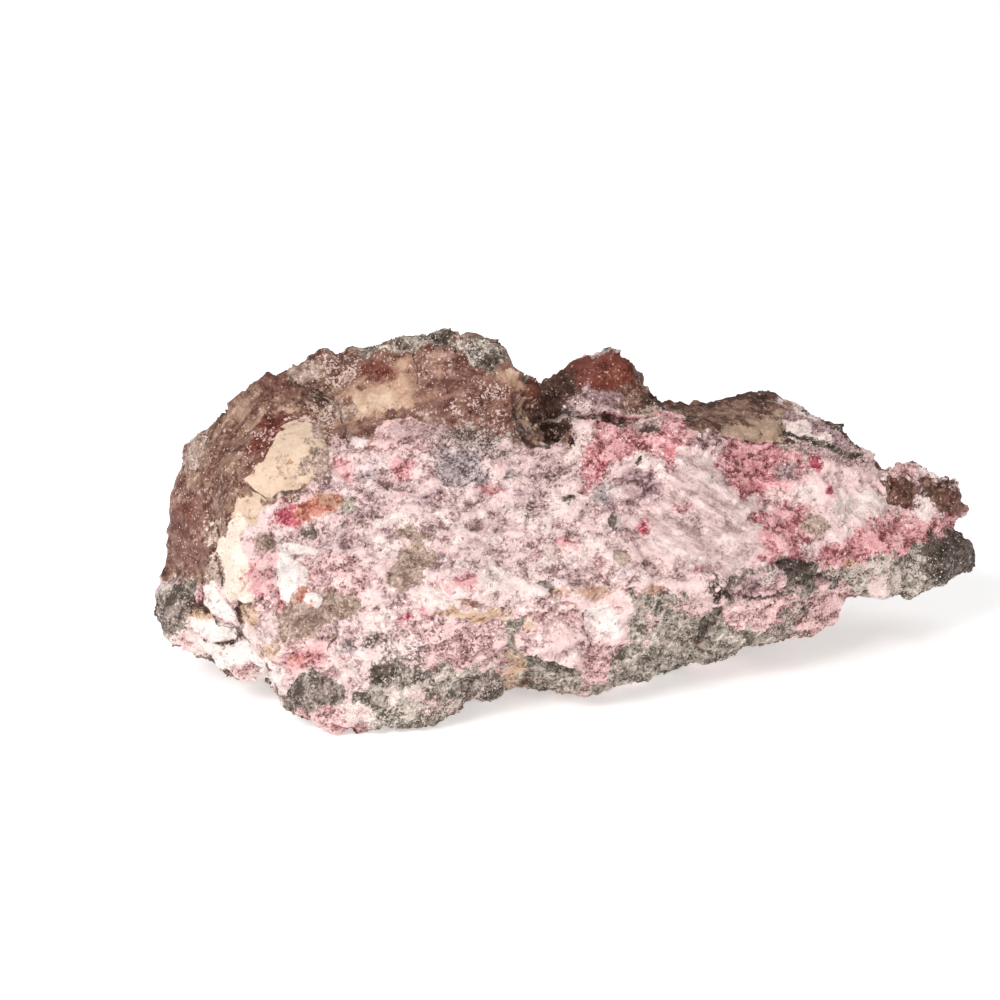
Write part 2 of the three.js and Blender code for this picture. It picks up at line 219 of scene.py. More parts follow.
finishes = {
    "crust": look(.5, .85, 1, .15, 2.2, tones=[
        (.25, .14, .135), (.49, .33, .315), (.74, .55, .53), (.89, .7, .68), (.96, .8, .77)]),
    "druse": look(.75, .8, 1, .3, 2.8, tones=[
        (.23, .11, .11), (.48, .28, .27), (.75, .49, .48), (.9, .64, .62), (.96, .78, .75)]),
    "rose": look(.8, .75, 1, .22, 1.9, tones=[
        (.21, .06, .065), (.44, .165, .17), (.68, .325, .335), (.84, .5, .51), (.93, .71, .68)]),
    "crimson": look(.7, .6, .8, .25, 2.4, tones=[
        (.24, .03, .05), (.42, .08, .11), (.62, .16, .2), (.75, .28, .31), (.86, .52, .51)]),
    "lilac": look(.85, .85, .9, .35, 2.4, tones=[
        (.15, .08, .085), (.29, .18, .18), (.47, .32, .32), (.66, .47, .47), (.86, .65, .64)]),
    "slate": look(.9, .8, .8, .3, 2.6, tones=[
        (.12, .09, .09), (.28, .22, .22), (.45, .365, .365), (.62, .515, .515), (.84, .71, .7)]),
    "blush": look(.18, .85, 1, .3, 1.8, tones=[
        (.4, .22, .21), (.66, .44, .43), (.84, .61, .59), (.9, .67, .65), (.96, .75, .73)]),
    "chalk": look(.1, .85, .7, .2, 1.6, streaked=1, lean=-58, tones=[
        (.46, .33, .31), (.72, .56, .53), (.87, .71, .67), (.93, .79, .75), (.96, .85, .82)]),
    "milk": look(.12, .8, .5, .12, .9, tones=[
        (.42, .31, .28), (.74, .61, .57), (.87, .77, .73), (.93, .85, .82), (.96, .91, .88)]),
    "silk": look(.34, .8, .6, .3, 1.4, streaked=1.5, lean=-58, tones=[
        (.4, .27, .26), (.58, .42, .405), (.71, .53, .51), (.8, .62, .6), (.88, .71, .69)]),
    "jasper": look(.45, .5, 0, .3, 1.4, streaked=2.1, lean=36, tones=[
        (.1, .04, .028), (.165, .075, .055), (.25, .14, .1), (.37, .235, .165), (.58, .42, .33)]),
    "garnet": look(.4, .45, 0, .3, 1.4, streaked=2, lean=80, tones=[
        (.1, .035, .025), (.155, .06, .045), (.215, .102, .077), (.32, .175, .135), (.54, .36, .3)]),
    "russet": look(.45, .45, 0, .25, 1.6, streaked=1.2, lean=36, tones=[
        (.075, .015, .009), (.115, .026, .016), (.165, .042, .027), (.22, .072, .048), (.36, .17, .13)]),
    "umber": look(.4, .5, 0, .2, 1.2, tones=[
        (.022, .009, .006), (.042, .018, .012), (.068, .03, .02), (.1, .048, .033), (.24, .14, .11)]),
    "olive": look(.8, .7, .15, .12, 1.6, patchy=2.2, streaked=1.6, lean=20, tones=[
        (.1, .082, .066), (.235, .2, .165), (.41, .345, .295), (.61, .53, .47), (.85, .745, .69)]),
    "moss": look(.95, .7, .15, .15, 1.6, patchy=1.4, tones=[
        (.18, .12, .09), (.3, .205, .16), (.43, .31, .255), (.58, .43, .37), (.84, .65, .59)]),
    "coal": look(.9, .6, .1, .2, 1.6, patchy=1.4, tones=[
        (.025, .018, .013), (.055, .04, .03), (.1, .075, .06), (.18, .135, .11), (.42, .36, .32)]),
    "ash": look(1, .65, .15, .25, 2.4, patchy=1.8, streaked=1.2, lean=20, tones=[
        (.08, .058, .048), (.18, .14, .12), (.32, .25, .22), (.5, .41, .375), (.81, .68, .64)]),
    "sand": look(.3, .7, 0, .1, .5, tones=[
        (.38, .24, .16), (.57, .39, .28), (.68, .5, .365), (.735, .56, .42), (.8, .64, .5)]),
    "peach": look(.2, .6, 0, .45, .8, tones=[
        (.22, .11, .07), (.36, .2, .13), (.48, .29, .2), (.56, .355, .25), (.68, .46, .35)]),
    "ivory": look(.05, .7, 0, .12, .9, tones=[
        (.42, .29, .22), (.72, .54, .42), (.87, .71, .58), (.92, .79, .69), (.95, .87, .8)]),
    "ochre": look(.6, .75, .1, .3, 2, tones=[
        (.25, .13, .07), (.44, .27, .17), (.62, .42, .29), (.77, .56, .42), (.9, .72, .6)]),
    "tan": look(.25, .65, 0, .15, 1, tones=[
        (.08, .04, .03), (.2, .13, .09), (.37, .25, .175), (.46, .32, .235), (.64, .48, .38)]),
    "ember": look(.8, .65, .2, .3, 2, tones=[
        (.2, .06, .045), (.38, .12, .085), (.57, .22, .155), (.71, .36, .27), (.88, .6, .52)]),
    "rust": look(.75, .7, .1, .35, 2.6, tones=[
        (.14, .06, .035), (.26, .13, .08), (.41, .23, .15), (.57, .36, .27), (.78, .58, .49)]),
}

# Where each finish lies: finish, left, right, low, high (mm across and up), a turn in degrees if
# any, and the share it covers if not the usual one. Later zones lie over earlier ones.
zones = [
    # rim and side of the left block
    ("garnet", -30, 8, 9, 30, 15), ("jasper", -62, -46, -16, 18), ("garnet", -61.5, -52.5, -15, 3, -5, .8),
    ("russet", -60, -55.5, -9, 1, -8, .5), ("moss", -57.8, -53, 5, 14, -20), ("jasper", -53.5, -47, 3, 16, -15),
    ("garnet", -45, -36.5, 17.5, 24), ("garnet", -47.5, -44, 2, 10, -30), ("russet", -45.8, -40.5, 6, 15, -35),
    ("russet", -43, -37.8, 11.5, 16.8, -45), ("peach", -41.6, -36.8, 15.4, 17.4, 10),
    ("moss", -36.4, -29.6, 15.2, 21, -20, .7), ("rust", -37.6, -31, 11, 17.6, -40, .6),
    ("umber", -34.6, -31.8, 16.2, 21.4, 40, .55), ("moss", -38.5, -31, 21.6, 25.2, 10, .8),
    ("olive", -27, -14.2, 26.6, 30.2, 12), ("olive", -16.2, -9, 28, 32, 15), ("coal", -13.5, -8.5, 27.5, 31, 30),
    ("olive", -8, 1.2, 24, 30.2, -40), ("coal", -3.6, .2, 23.4, 27.4, -40), ("peach", -.2, 4.4, 20.6, 25.2, -48),
    ("sand", .8, 3.8, 21.8, 24.6, -48, .45), ("garnet", -25.6, -19.2, 21, 24.4),
    ("peach", -29.4, -13.2, 13.8, 23, 15, 1), ("sand", -27, -16.6, 15, 20.6, 12, .5),
    ("moss", -29.6, -26, 15, 18, 0, .5), ("peach", -18, -10.5, 21.5, 28, 10, .5),
    ("russet", -25.6, -19, 21.6, 24.8, -5, .8), ("garnet", -28.2, -14.4, 10, 15.4, 8),
    ("umber", -27, -19, 10.6, 13.6, 8, .5), ("garnet", -14.8, -12, 20, 27.8), ("moss", -16.2, -10.4, 13.4, 17, 0, .4),
    ("garnet", -1.2, 4.4, 11, 20.8, 10), ("peach", 1.4, 4.2, 19.8, 22.4), ("russet", 4, 8.6, 16, 23, -30),
    ("tan", 3.2, 8.8, 10.6, 19.2, 0, .9), ("umber", 5.4, 8.4, 13, 18.2, 10, .5), ("coal", 3.4, 6.6, 10.6, 15, 0, .4),
    # knob and the shelf under it; the umber beside the knob, from 7.4 to 14.8 across, is painted shade
    ("russet", 8.5, 25.8, 14, 27.5), ("umber", 7.4, 14.8, 14.8, 24, 30, 1),
    ("ember", 15.5, 22.5, 21.6, 25.2, -5, .35), ("jasper", 21.2, 25.8, 14.4, 20.8), ("lilac", 13, 21.6, 15.6, 20.2),
    ("chalk", 14, 17, 15.8, 18.4), ("moss", 8, 17, 10, 16), ("umber", 8.6, 13, 9.4, 13.6),
    ("crust", 12.4, 18.4, 9.8, 15.4, 15), ("umber", 26, 35.4, 17, 20.4, -8), ("moss", 25.4, 36, 13.4, 17.8, -10, .9),
    ("coal", 27, 35, 15.4, 18.8, -10, .6),
    # mound on the right
    ("umber", 34, 54, 13, 20.6, 0, 1), ("moss", 46, 60.4, 8, 11, -5), ("chalk", 49, 57.4, 11.4, 17.4, -25),
    ("coal", 50.5, 58, 13.2, 15.4, -25), ("coal", 56, 70.4, 8.4, 13.4, -38), ("lilac", 57, 69, 6.6, 11, -38),
    # upper crust
    ("lilac", -17.4, -11, 10.2, 13.8), ("druse", -23, -13, 9.4, 13.8, 8, .95), ("lilac", -20.6, -13.6, 10, 13, 5, .6),
    ("chalk", -26.8, -24.2, 9.6, 11.6), ("ash", -11.2, 3, 8.2, 13.2, -5, .6),
    ("slate", -12.2, -2.8, 2.8, 9.2, 0, .95), ("rose", -20.4, -15.2, 3.5, 7.9), ("rose", -31.2, -26.6, 3.2, 7.6),
    ("lilac", -34.9, -30.6, 2.6, 6.8), ("slate", -27, -22.4, 3.2, 6, 15, .6), ("lilac", 5.6, 12.8, 3.4, 8.6, -10, .7),
    ("slate", .8, 3, 3.8, 5.7), ("lilac", 1.5, 8.5, -2, 3, 0, .6), ("slate", .2, 8.6, -5.2, 5.6, 0, .2),
    ("rose", -3.8, .5, .2, 2.6), ("lilac", -28, -20, -4.4, 2.2, 0, .75), ("moss", -26.9, -23.6, -6.1, -3.1, 30),
    ("chalk", -24.2, -15.6, -4.8, -2.6, 8), ("chalk", -24, -16.6, -11, -6.5, 5),
    ("chalk", -28.8, -22.4, -14.5, -11.8, -5), ("chalk", -6, 2.4, -17, -11.8),
    ("chalk", 1.5, 11.8, -18.2, -13.4, -10), ("rose", 9.2, 13.2, -8.4, -6.7, -8),
    ("lilac", 21.2, 29.4, -1, 5.8, 0, 1), ("slate", 16.9, 21.8, .2, 3.4), ("slate", 19.8, 23.8, -5.6, -3.2),
    ("rose", 15, 20.8, 3.2, 14.2, -10, .95), ("crimson", 16.6, 19.6, 4.2, 9, -15, .4),
    ("rose", 17.4, 30.4, 8.6, 14.6, 0, .95), ("rose", 28.2, 35.4, 5.8, 13.6), ("crimson", 29.2, 32.4, 6, 9.4, 0, .5),
    ("lilac", 34.5, 40.5, 9.6, 12.6), ("chalk", 31, 40.5, 1.5, 9.4, -25, .6), ("blush", 18, 40, -13, -3, -20, .5),
    ("crimson", 26.6, 28.8, -6, -4, -30), ("crimson", 35.7, 38.3, -13.2, -11.5), ("moss", 20.7, 24, -11.9, -9.2),
    # right crust and nub
    ("blush", 54.5, 73, -8, 9, 15, 1), ("chalk", 58, 70, -5.6, 1, 20, .7), ("rose", 39.6, 49.8, -1.6, 13, -20, .95),
    ("rose", 41, 55, 2.5, 9.5, -15), ("crimson", 43, 49.2, .2, 5.6, -30, .35),
    ("crimson", 47.2, 53.8, 1.2, 3.5, 0, .5), ("lilac", 49.8, 53.8, 2.8, 6), ("crimson", 56, 58.6, 5.2, 8.4),
    ("chalk", 52.4, 58.2, -.6, 3.2, 10), ("crimson", 58.7, 61.2, .5, 3.5), ("rose", 45.2, 55.6, -12.2, .2, -30, .95),
    ("crimson", 52, 56, -11.4, -8.4, -30, .6), ("moss", 54.6, 60.8, -7, -3.1), ("rose", 57.8, 67.5, -13.2, -7.4, 15),
    ("rose", 64.5, 79.4, -10.8, -3.2, 15), ("rose", 78.6, 83.6, -8.5, -1.5), ("druse", 70.6, 76.4, 3.6, 7.8),
    ("chalk", 74.4, 79.4, -4, 1.8), ("olive", 61.5, 80, -18.5, -10, 8), ("chalk", 66.6, 71, -18.8, -14.6, 20, .8),
    ("coal", 77.8, 87.8, -17.2, -5.6, 40, 1), ("rust", 62.4, 65.8, -12.8, -10.6),
    # streak of orange under the left block
    ("crimson", -42.5, -36.4, -4.8, -.4, 25, .5), ("ember", -39.6, -30, -3.2, 1.8, 15, .5),
    ("rust", -31.6, -28.6, -1.8, 1), ("olive", -29.2, -26.6, -2.8, 1), ("ember", -36.2, -33.8, -4.4, -2.6),
    ("ash", -37.2, -31.8, -7.1, -4.4, 15, .8),
    # heel and lower left
    ("tan", -53, -48.6, -14, -1, 10, .6), ("chalk", -53.9, -49.9, -22, -15.4, 25),
    ("rose", -54.6, -52.6, -18.8, -15, 20), ("moss", -54, -49.4, -15.6, -11.2),
    ("olive", -63.5, -53.8, -27.4, -14.6, 10), ("ash", -62.5, -54.5, -25.5, -16.5, 10, 1),
    ("chalk", -58.4, -39.4, -34, -23, -20), ("umber", -56.8, -53.8, -22.6, -18.2, 30),
    ("ochre", -56.8, -53, -24.2, -20.4, -30), ("ochre", -51.5, -49.4, -26.5, -24),
    ("umber", -49, -44.8, -23.2, -18.2, -30), ("umber", -50.2, -47.2, -27, -22.6, -20),
    ("ochre", -47, -43, -23.6, -19, 30), ("ochre", -44, -40.4, -30.8, -25.8, -45), ("druse", -58.4, -56, -27, -24.6),
    ("druse", -46.6, -40, -19.4, -7.4, 20, .7), ("moss", -45.2, -40.8, -9.6, -5.8),
    ("chalk", -40.6, -36.7, -18.4, -11.2), ("ash", -40, -36.4, -12.1, -8.5), ("chalk", -37, -32.4, -19.4, -12, 10),
    ("ember", -37.4, -34.3, -20.4, -14.8, -15), ("druse", -35, -23.5, -17.3, -9.8),
    ("moss", -41.5, -30.2, -27.8, -17.4, 0, .95), ("ochre", -32.5, -25.2, -21.7, -16.5),
    ("moss", -33.5, -25.2, -21.9, -16.5), ("druse", -39.9, -30.6, -32.2, -25.9, 15),
    ("rose", -40.6, -31.4, -31, -27.6, 10, .75), ("ember", -39.4, -34.4, -30.8, -28.2, 10, .5),
    ("ash", -40.4, -27.4, -38.4, -32, 10, 1), ("coal", -40.6, -28.4, -38.6, -32.6, 10, .75),
    ("druse", -40, -25, -43, -37.4, -15), ("chalk", -28.8, -21.8, -40.6, -37, -15),
    # lower front
    ("rust", -20.8, -17, -17.8, -11.6, 10, .6), ("jasper", -7.9, -5.6, -16, -12.5, -15, .5),
    ("rust", -13.2, -9.8, -17.2, -15, -20, .6), ("chalk", -14.2, -8.4, -19.6, -16.7, -25),
    ("crimson", -18.7, -16.2, -22.2, -20.4), ("crimson", -15.3, -13.9, -20.8, -19.2),
    ("ochre", -11.3, 1.8, -21.8, -18.9, 3), ("rust", -8.5, -1.6, -19.3, -17.3, 0, .65),
    ("umber", 11.4, 17, -14.6, -12.6, -18, .55), ("rust", 11.4, 22.9, -17.4, -15.4, -5, .7),
    ("umber", 19.2, 22, -16.6, -15, 0, .6), ("ash", 7, 10.3, -16.2, -14.2, 0, .8), ("ochre", 8.4, 12.5, -17.4, -15.9),
    ("rust", 25.2, 30.8, -17.6, -15.6, -12, .75), ("druse", -18.3, 2.4, -31.9, -21.6, -10),
    ("ash", -24.4, -12.3, -29.6, -23.4, -10, .7), ("ash", -24.8, -14.8, -34.6, -28.4, 15, .75),
    ("olive", -22.5, 2, -42.5, -30.6, 20), ("ash", -8.5, 1.6, -37.5, -32.2, 25, .8),
    ("ash", -14.5, -12.3, -34.5, -31.5, 0, .8), ("chalk", -21.6, -18.6, -37.1, -33.7, 30),
    ("chalk", -17, -14.2, -36.9, -34), ("olive", 1.4, 5.4, -29.5, -20.7, -8), ("ochre", 1, 5.2, -33.6, -23.5, -13),
    ("ochre", 5.2, 7.2, -23.7, -21.1), ("druse", 3.8, 22.8, -34, -18.4), ("crust", 5.2, 15.4, -30, -21.8, 5),
    ("chalk", 15, 21.2, -26.6, -18, 20), ("olive", 5.4, 14.6, -33.6, -28.9, -12), ("olive", 22.6, 37, -35, -16.2, 15),
    ("ash", 26, 34, -22.5, -17.8, 0, .8), ("blush", 34.4, 41, -20.6, -13, 10, .95),
    ("rust", 34.4, 37.6, -27, -24.4, 30, .5), ("ash", 37.8, 58.6, -16.8, -11.6, 5, .8),
    ("chalk", 48, 52.4, -17.1, -13.2, 25), ("druse", 40, 53.6, -24.6, -16.4, 15),
    ("ash", 52.4, 62, -24.2, -15.2, 42, .85), ("druse", 53.6, 66, -26.2, -16, 40),
    ("olive", 37.8, 48.6, -28.2, -24.3, 15), ("coal", 50.2, 58, -15.4, -11.2, -10, .85),
    ("coal", 38.6, 43.4, -20, -12.4, -60, .6), ("coal", 53.6, 56.4, -23, -18.6, -20, .7),
    ("coal", 30, 37.4, -21.4, -17, 0, .45),
]

# Outlines of the large bodies of rock, drawn under the zones: across, up.
bodies = {
    "jasper": [(-64, -14), (-66, 24), (-12, 36), (8, 28), (8, 9.5), (-1, 9.4), (-6, 12), (-12, 13.6), (-20, 12.4),
               (-23.2, 10.5), (-27.5, 11.4), (-31.4, 8), (-33.5, 2.6), (-41, -.6), (-44.6, -2), (-48, -6), (-51, -8),
               (-53, -16)],
    "russet": [(7, 36), (8.4, 15.4), (17, 16), (24, 15), (32, 16), (33, 24), (22, 30)],
    "umber": [(24, 24), (24, 15.6), (35, 14.4), (39, 13.2), (48, 9.2), (58, 8.6), (70.5, 5.6), (66, 20), (46, 26)],
    "olive": [(-24, -31), (-8, -30.5), (2, -31), (5, -33), (14, -33), (23, -27), (24, -17), (34, -16.6), (38, -12.5),
              (58, -12), (62, -12), (74, -9.6), (79, -6.8), (92, -2), (92, -24), (40, -40), (-10, -52), (-32, -46)],
}

# Plates, veins and blades with clean outlines, laid over the zones: finish, how far the outline
# wanders, how soft it is in mm, then points across and up.
plates = [
    ("sand", .4, .8, [(-46.4, 3.6), (-44.2, 6.4), (-42.3, 9.4), (-39, 13.6), (-36, 14.4), (-32.9, 13), (-31.2, 10.2),
                      (-31.6, 6), (-33.4, 3.2), (-36.4, 2.1), (-38.8, 1.2), (-41.2, 0), (-42.8, 0)]),
    ("tan", .3, .8, [(38.6, 12.8), (47.3, 15.6), (52.4, 17.4), (54, 13.6), (52, 11), (47, 10.4), (42, 11.6)]),
    ("silk", .9, 1.6, [(33, 8.6), (40.5, 8), (41.8, 1.8), (46.4, -3.2), (47.7, -9.1), (42.4, -13.2), (33.5, -11.6),
                       (24.4, -6), (30, .6), (31.4, 5.6)]),
    ("ivory", .3, .6, [(-47.9, -.3), (-44.7, -.3), (-43.9, -2.1), (-46.3, -5), (-47.4, -6.9), (-46.6, -9),
                       (-45.5, -11.6), (-44.4, -14.2), (-44.2, -17.1), (-45.8, -18.4), (-47.9, -19.5),
                       (-49.7, -18.9), (-50.2, -16.3), (-49.7, -13.7), (-50.8, -10.5), (-51, -7.7), (-49.5, -5.3),
                       (-48.4, -2.7)]),
    ("blush", .5, .8, [(-46.8, -8), (-45.4, -8), (-44.4, -11.6), (-42.8, -14.2), (-42.4, -16.8), (-43.9, -16.8),
                       (-45, -13.2), (-46.3, -10.5)]),
    ("druse", .5, .7, [(-41.9, -9.5), (-40.4, -9.2), (-40.7, -13.2), (-40.2, -17.4), (-41, -19.6), (-42.2, -18.9),
                       (-41.8, -14.2)]),
    ("crimson", .4, .8, [(-41.2, -3.7), (-39, -1.3), (-36.6, -.2), (-37.2, -2), (-36.2, -3.8), (-39.5, -4.4)]),
    ("ember", .4, .8, [(-38.6, -2.3), (-35.8, -.2), (-32.1, .7), (-29.2, .7), (-29.4, -1.2), (-32.1, -2.8),
                       (-35.3, -3.3), (-37.9, -3.3)]),
    ("olive", .4, .7, [(-29.2, .8), (-26.8, .6), (-26.6, -1.9), (-28.8, -2.1), (-29.6, -.6)]),
    ("ash", .6, .8, [(-39.9, -36.3), (-38.4, -33.5), (-34.2, -32.4), (-31.6, -31.9), (-28.6, -33.1), (-28.3, -36.8),
                     (-31.1, -37.9), (-34.2, -38.6), (-37.4, -37.9), (-40.2, -38.6)]),
    ("moss", .5, .7, [(-16.1, -3.7), (-14.6, -5.2), (-12, -6.2), (-13.8, -8.2), (-11.6, -8.8), (-12, -11.2),
                      (-13.6, -13.4), (-15, -16.2), (-18.4, -17.2), (-20.4, -15.2), (-19.8, -12.2), (-17.6, -9.6),
                      (-16, -8), (-19.2, -5.6)]),
    ("lilac", .5, .8, [(21.6, 5.1), (24.9, 5.5), (28, 4.2), (28.9, 2), (26.9, -.2), (23.7, .3), (21.2, 2.5)]),
    ("milk", .2, .5, [(-53.8, -15.8), (-51.7, -14.9), (-50.7, -18.4), (-48.4, -21), (-48.8, -22.4), (-52.4, -21.4),
                      (-53.3, -18.6)]),
    ("milk", .3, .5, [(-56.6, -22), (-54.2, -22), (-49.2, -23.4), (-48.4, -25.2), (-52.4, -25.1), (-56.3, -23.5)]),
    ("milk", .5, .8, [(-55, -25.4), (-49.1, -26), (-44.5, -27.3), (-39.6, -31.8), (-40.9, -33.2), (-46.4, -34),
                      (-52.4, -31)]),
    ("milk", .3, .6, [(-40.6, -13), (-39.5, -10.2), (-36.8, -11.5), (-37.2, -14.9), (-38.8, -18.5), (-40.6, -18.4)]),
    ("milk", .3, .6, [(-36.2, -12.2), (-34.3, -13.1), (-34.9, -15.5), (-32.4, -17.5), (-33.3, -19.4), (-35.6, -18.8),
                      (-36.4, -15.5)]),
    ("milk", .4, .6, [(-40.4, -8), (-36.3, -8.2), (-33, -9.1), (-33.6, -10.4), (-36.9, -10.2), (-40, -11.4)]),
    ("milk", .4, .6, [(16.2, -18.7), (19.2, -18.7), (20.9, -21.2), (20.4, -24.6), (17.7, -24), (15.8, -21.6)]),
    ("lilac", .3, .6, [(51, 16.8), (53.5, 16.2), (58.5, 13.6), (64, 10.6), (63.4, 9.4), (58, 11.6), (52.4, 14.4)]),
    ("chalk", .3, .5, [(50.8, 15.2), (53.6, 14.6), (57.6, 12.6), (60.4, 11.2), (60, 10.4), (56.6, 11.6),
                       (52.6, 13.4)]),
    ("coal", .25, .5, [(51.4, 13.6), (57, 11.4), (65.8, 8.2), (65.4, 7.2), (57, 10.2), (51.6, 12.6)]),
    ("lilac", .3, .6, [(54.6, 10.8), (60, 9), (67.4, 6.6), (67, 5.4), (60, 7.6), (55, 9.4)]),
    ("garnet", .3, .5, [(68.8, 3.2), (70.3, 4), (71.9, 3.2), (73.9, 4), (75.5, 3.2), (75.3, 1.5), (75.1, -2),
                        (73.2, -1.2), (71.6, -1.5), (70.1, -1), (69.6, .9)]),
    ("garnet", .3, .5, [(75.5, 4.3), (78.4, 4.8), (79.7, 3.2), (81.6, 1.5), (83.6, 1.2), (84.8, -.4), (83.6, -2.2),
                        (81.6, -2.3), (79.4, -1.7), (77.7, -.1), (76.8, 1.5), (76.1, 3.2)]),
    ("olive", .6, .8, [(1.3, -21.4), (4.5, -21), (3.9, -24.3), (4.9, -28.1), (8, -29.8), (12.6, -29.8), (15, -32.3),
                       (11.8, -34.6), (6.8, -34), (3.2, -33.6), (1.7, -28.1), (.9, -24.3)]),
]

# How the crust itself varies: finish, size in mm, where in the noise it starts and is full, share.
drifts = [
    ("lilac", 5, 90, .14, .34, .65), ("druse", 6.5, 110, .06, .26, .5), ("chalk", 5, 150, .14, .32, .7),
    ("blush", 6, 210, .1, .3, .7), ("slate", 4, 130, .28, .42, .55), ("rose", 3.2, 170, .36, .48, .55),
    ("moss", 3.2, 190, .4, .5, .5),
]

# Smooth worn faces, without chips: share, left, right, low, high.
worn = [
    (.8, 78, 88, -18, -5), (.7, 34, 54, 12, 21), (.6, 13, 26, 18, 27), (.9, -47, -31, -1, 15),
    (.8, -52, -44, -21, 0), (.8, -29, -14, 14, 25), (.9, -64, -46, -16, 18), (.5, -14, 5, 10, 26),
]

# Slanting folds in the pale skin and upright ribs in the grey lumps: share, left, right, low, high.
folds = [
    (1, 20, 50, -14, 10), (.6, 56, 72, -8, 8), (.4, -6, 20, -16, -2),
]
ribs = [
    (1, 21, 38, -36, -15), (.8, -24, 3, -43, -30), (.6, 37, 66, -26, -11), (.5, 62, 82, -19, -9),
    (.5, -42, -24, -40, -16),
]

# Clustered round beads: share, left, right, low, high.
beads = [
    (1, 68.4, 76, -2.4, 4.4), (1, 75, 85, -2.8, 5.4), (.6, 70, 77, 3.6, 8), (.5, 4, 8.6, 11, 18.6),
    (.4, 36, 56, -18, -12),
]

# Stains and mottling over the plates, and painted shadow under the ledge beside the knob:
# finish, share, left, right, low, high.
mottles = [
    ("moss", .62, -36.4, -31, 2.4, 8.8), ("ochre", .4, -41, -35, 4, 10), ("moss", .55, -35, -31, 9, 13.4),
    ("sand", .8, -48.6, -42.8, -4.4, .4), ("rust", .4, -47.4, -44, -17.6, -12),
    ("ember", .9, -37.2, -34.6, -19.4, -15.3), ("druse", .6, -50, -43.5, -33.8, -28.6),
    ("ochre", .8, 1.8, 5, -33.6, -26.6), ("ochre", .7, 4.4, 7.2, -24.2, -20.8),
    ("crimson", .9, 26.4, 28.9, -6.2, -3.8), ("rose", .7, 31, 34.2, -2.4, -.6), ("lilac", .5, 31, 37, -5.6, -2.8),
    ("slate", .7, 17, 20.6, -.2, 3.2), ("chalk", .6, 20.6, 30, 5.4, 9.6), ("ivory", .3, -54, -50.6, -14, -1),
    ("crimson", .45, -39.6, -34.6, -3.8, -.8), ("rust", .6, -33, -28.8, -1.8, .8),
    ("rose", .5, -46.6, -42.4, -17, -11.4), ("rose", .5, -42.2, -40.2, -19.6, -14.4),
    ("umber", .3, -20.2, -14.6, -16.6, -11.6), ("coal", .3, -15.8, -11.4, -9, -4.4), ("milk", .35, 57.4, 71, -6, 5),
    ("blush", .45, 4.6, 15.4, -30, -21.6), ("olive", .4, 22.4, 36, -30, -17), ("druse", .45, 25, 30, -27, -21),
    ("druse", .4, 31, 37, -24, -18), ("moss", .5, 22.6, 27, -24, -17.4), ("druse", .4, -16, -8, -40, -34),
    ("druse", .35, 66, 76, -15.6, -11), ("lilac", .4, 42, 52, -18, -13), ("jasper", .6, 34, 53, 13.6, 18.4),
    ("coal", .6, 78.4, 86, -16, -7.6), ("olive", .4, -39.6, -28.6, -38, -32.2),
    ("slate", .5, -25.8, -22.4, 2.6, 6.4), ("umber", .35, -30, -26.4, -6.4, -2.6), ("coal", .6, 4.2, 6.8, -4, -.6),
    ("coal", .35, -4.6, -1.2, -6.4, -3.8), ("coal", .45, -8.8, -6.8, -1.4, 2.4),
    ("coal", .45, 6.6, 10, -16.8, -14.6), ("ash", .7, -12.2, -9.4, -23.4, -21.6),
    ("milk", .4, -23.6, -17.6, -11.2, -6.2), ("milk", .5, -11.6, -5.6, -9.6, -5.8),
    ("milk", .4, -4.8, 4.2, -17.4, -11.6), ("milk", .4, -22.6, -15.6, -5.4, -3.4),
    ("milk", .3, -28.8, -22.6, -14.4, -12), ("milk", .4, -14.4, -8.4, -2.4, .2),
    ("rose", .5, -9.6, -4.8, -16.6, -11.4), ("ochre", .5, -17.8, -13, -9.4, -8),
    ("rust", .9, 25.4, 30.8, -17.4, -15.2), ("rust", .5, 12, 22.4, -17.2, -15.4),
    ("ochre", .9, -11.6, 1.6, -21.6, -18.8), ("chalk", .7, -16, -9, -19.4, -16.6),
    ("coal", .6, -24.6, -18, -32.8, -27.8), ("coal", .9, 11.8, 13.8, -2, .8), ("coal", .8, 19.8, 23, -5.6, -3.4),
    # The two umber bands from 13.2 to 15.2 up, just under the ledge, are painted shadow
    ("coal", .8, .4, 2.9, 3.2, 5.4), ("coal", .9, 25.4, 26.8, 6.2, 7.4), ("umber", .9, 9, 15, 13.4, 15.2),
    ("umber", .7, 15, 23.4, 13.2, 14.6), ("chalk", .5, 9.6, 14.6, 15.2, 16), ("ochre", .6, 9, 13, 12.4, 13.6),
    ("umber", .8, 8.8, 12.6, 10.8, 12), ("ochre", .6, 8.6, 12.4, 9.2, 10.8), ("umber", .45, 68.6, 76, -2.4, 4.4),
    ("umber", .5, 75.2, 85, -2.8, 5.2), ("moss", .35, 69.6, 73.4, -.4, 3.2),
]

# Loose pale grains on the brown rock and dark grains on the crust: share, left, right, low, high.
frost = [
    (.12, -62, -46, -16, 16), (.4, -47, -31, 0, 15), (.15, -53, -47, -2, 12), (.75, -34, -25, 21, 25.4),
    (.65, -37, -29, 13, 17.5), (.55, -32.4, -27.8, 7.5, 13.4), (.14, -29, 4, 12, 28), (.4, -9, 3.6, 12, 22),
    (.45, -8, -3, 15.5, 19), (.7, -9, -2, 26, 31), (.5, -12, 4, 8.5, 14.5), (.3, -20, -8, 26, 31),
    (.35, 20, 26, 14, 19), (.3, 8, 18, 10, 16.5), (.2, 26, 35, 14, 18), (.5, 56, 70, 5, 12),
    (.35, -54, -49, -16, -9), (.3, -1, 5, 10, 14), (.3, 24, 36, -34, -18), (.75, 60, 78, -18, -10),
    (.5, -24, 2, -42, -30), (.12, -63, -54, -22, -15),
]
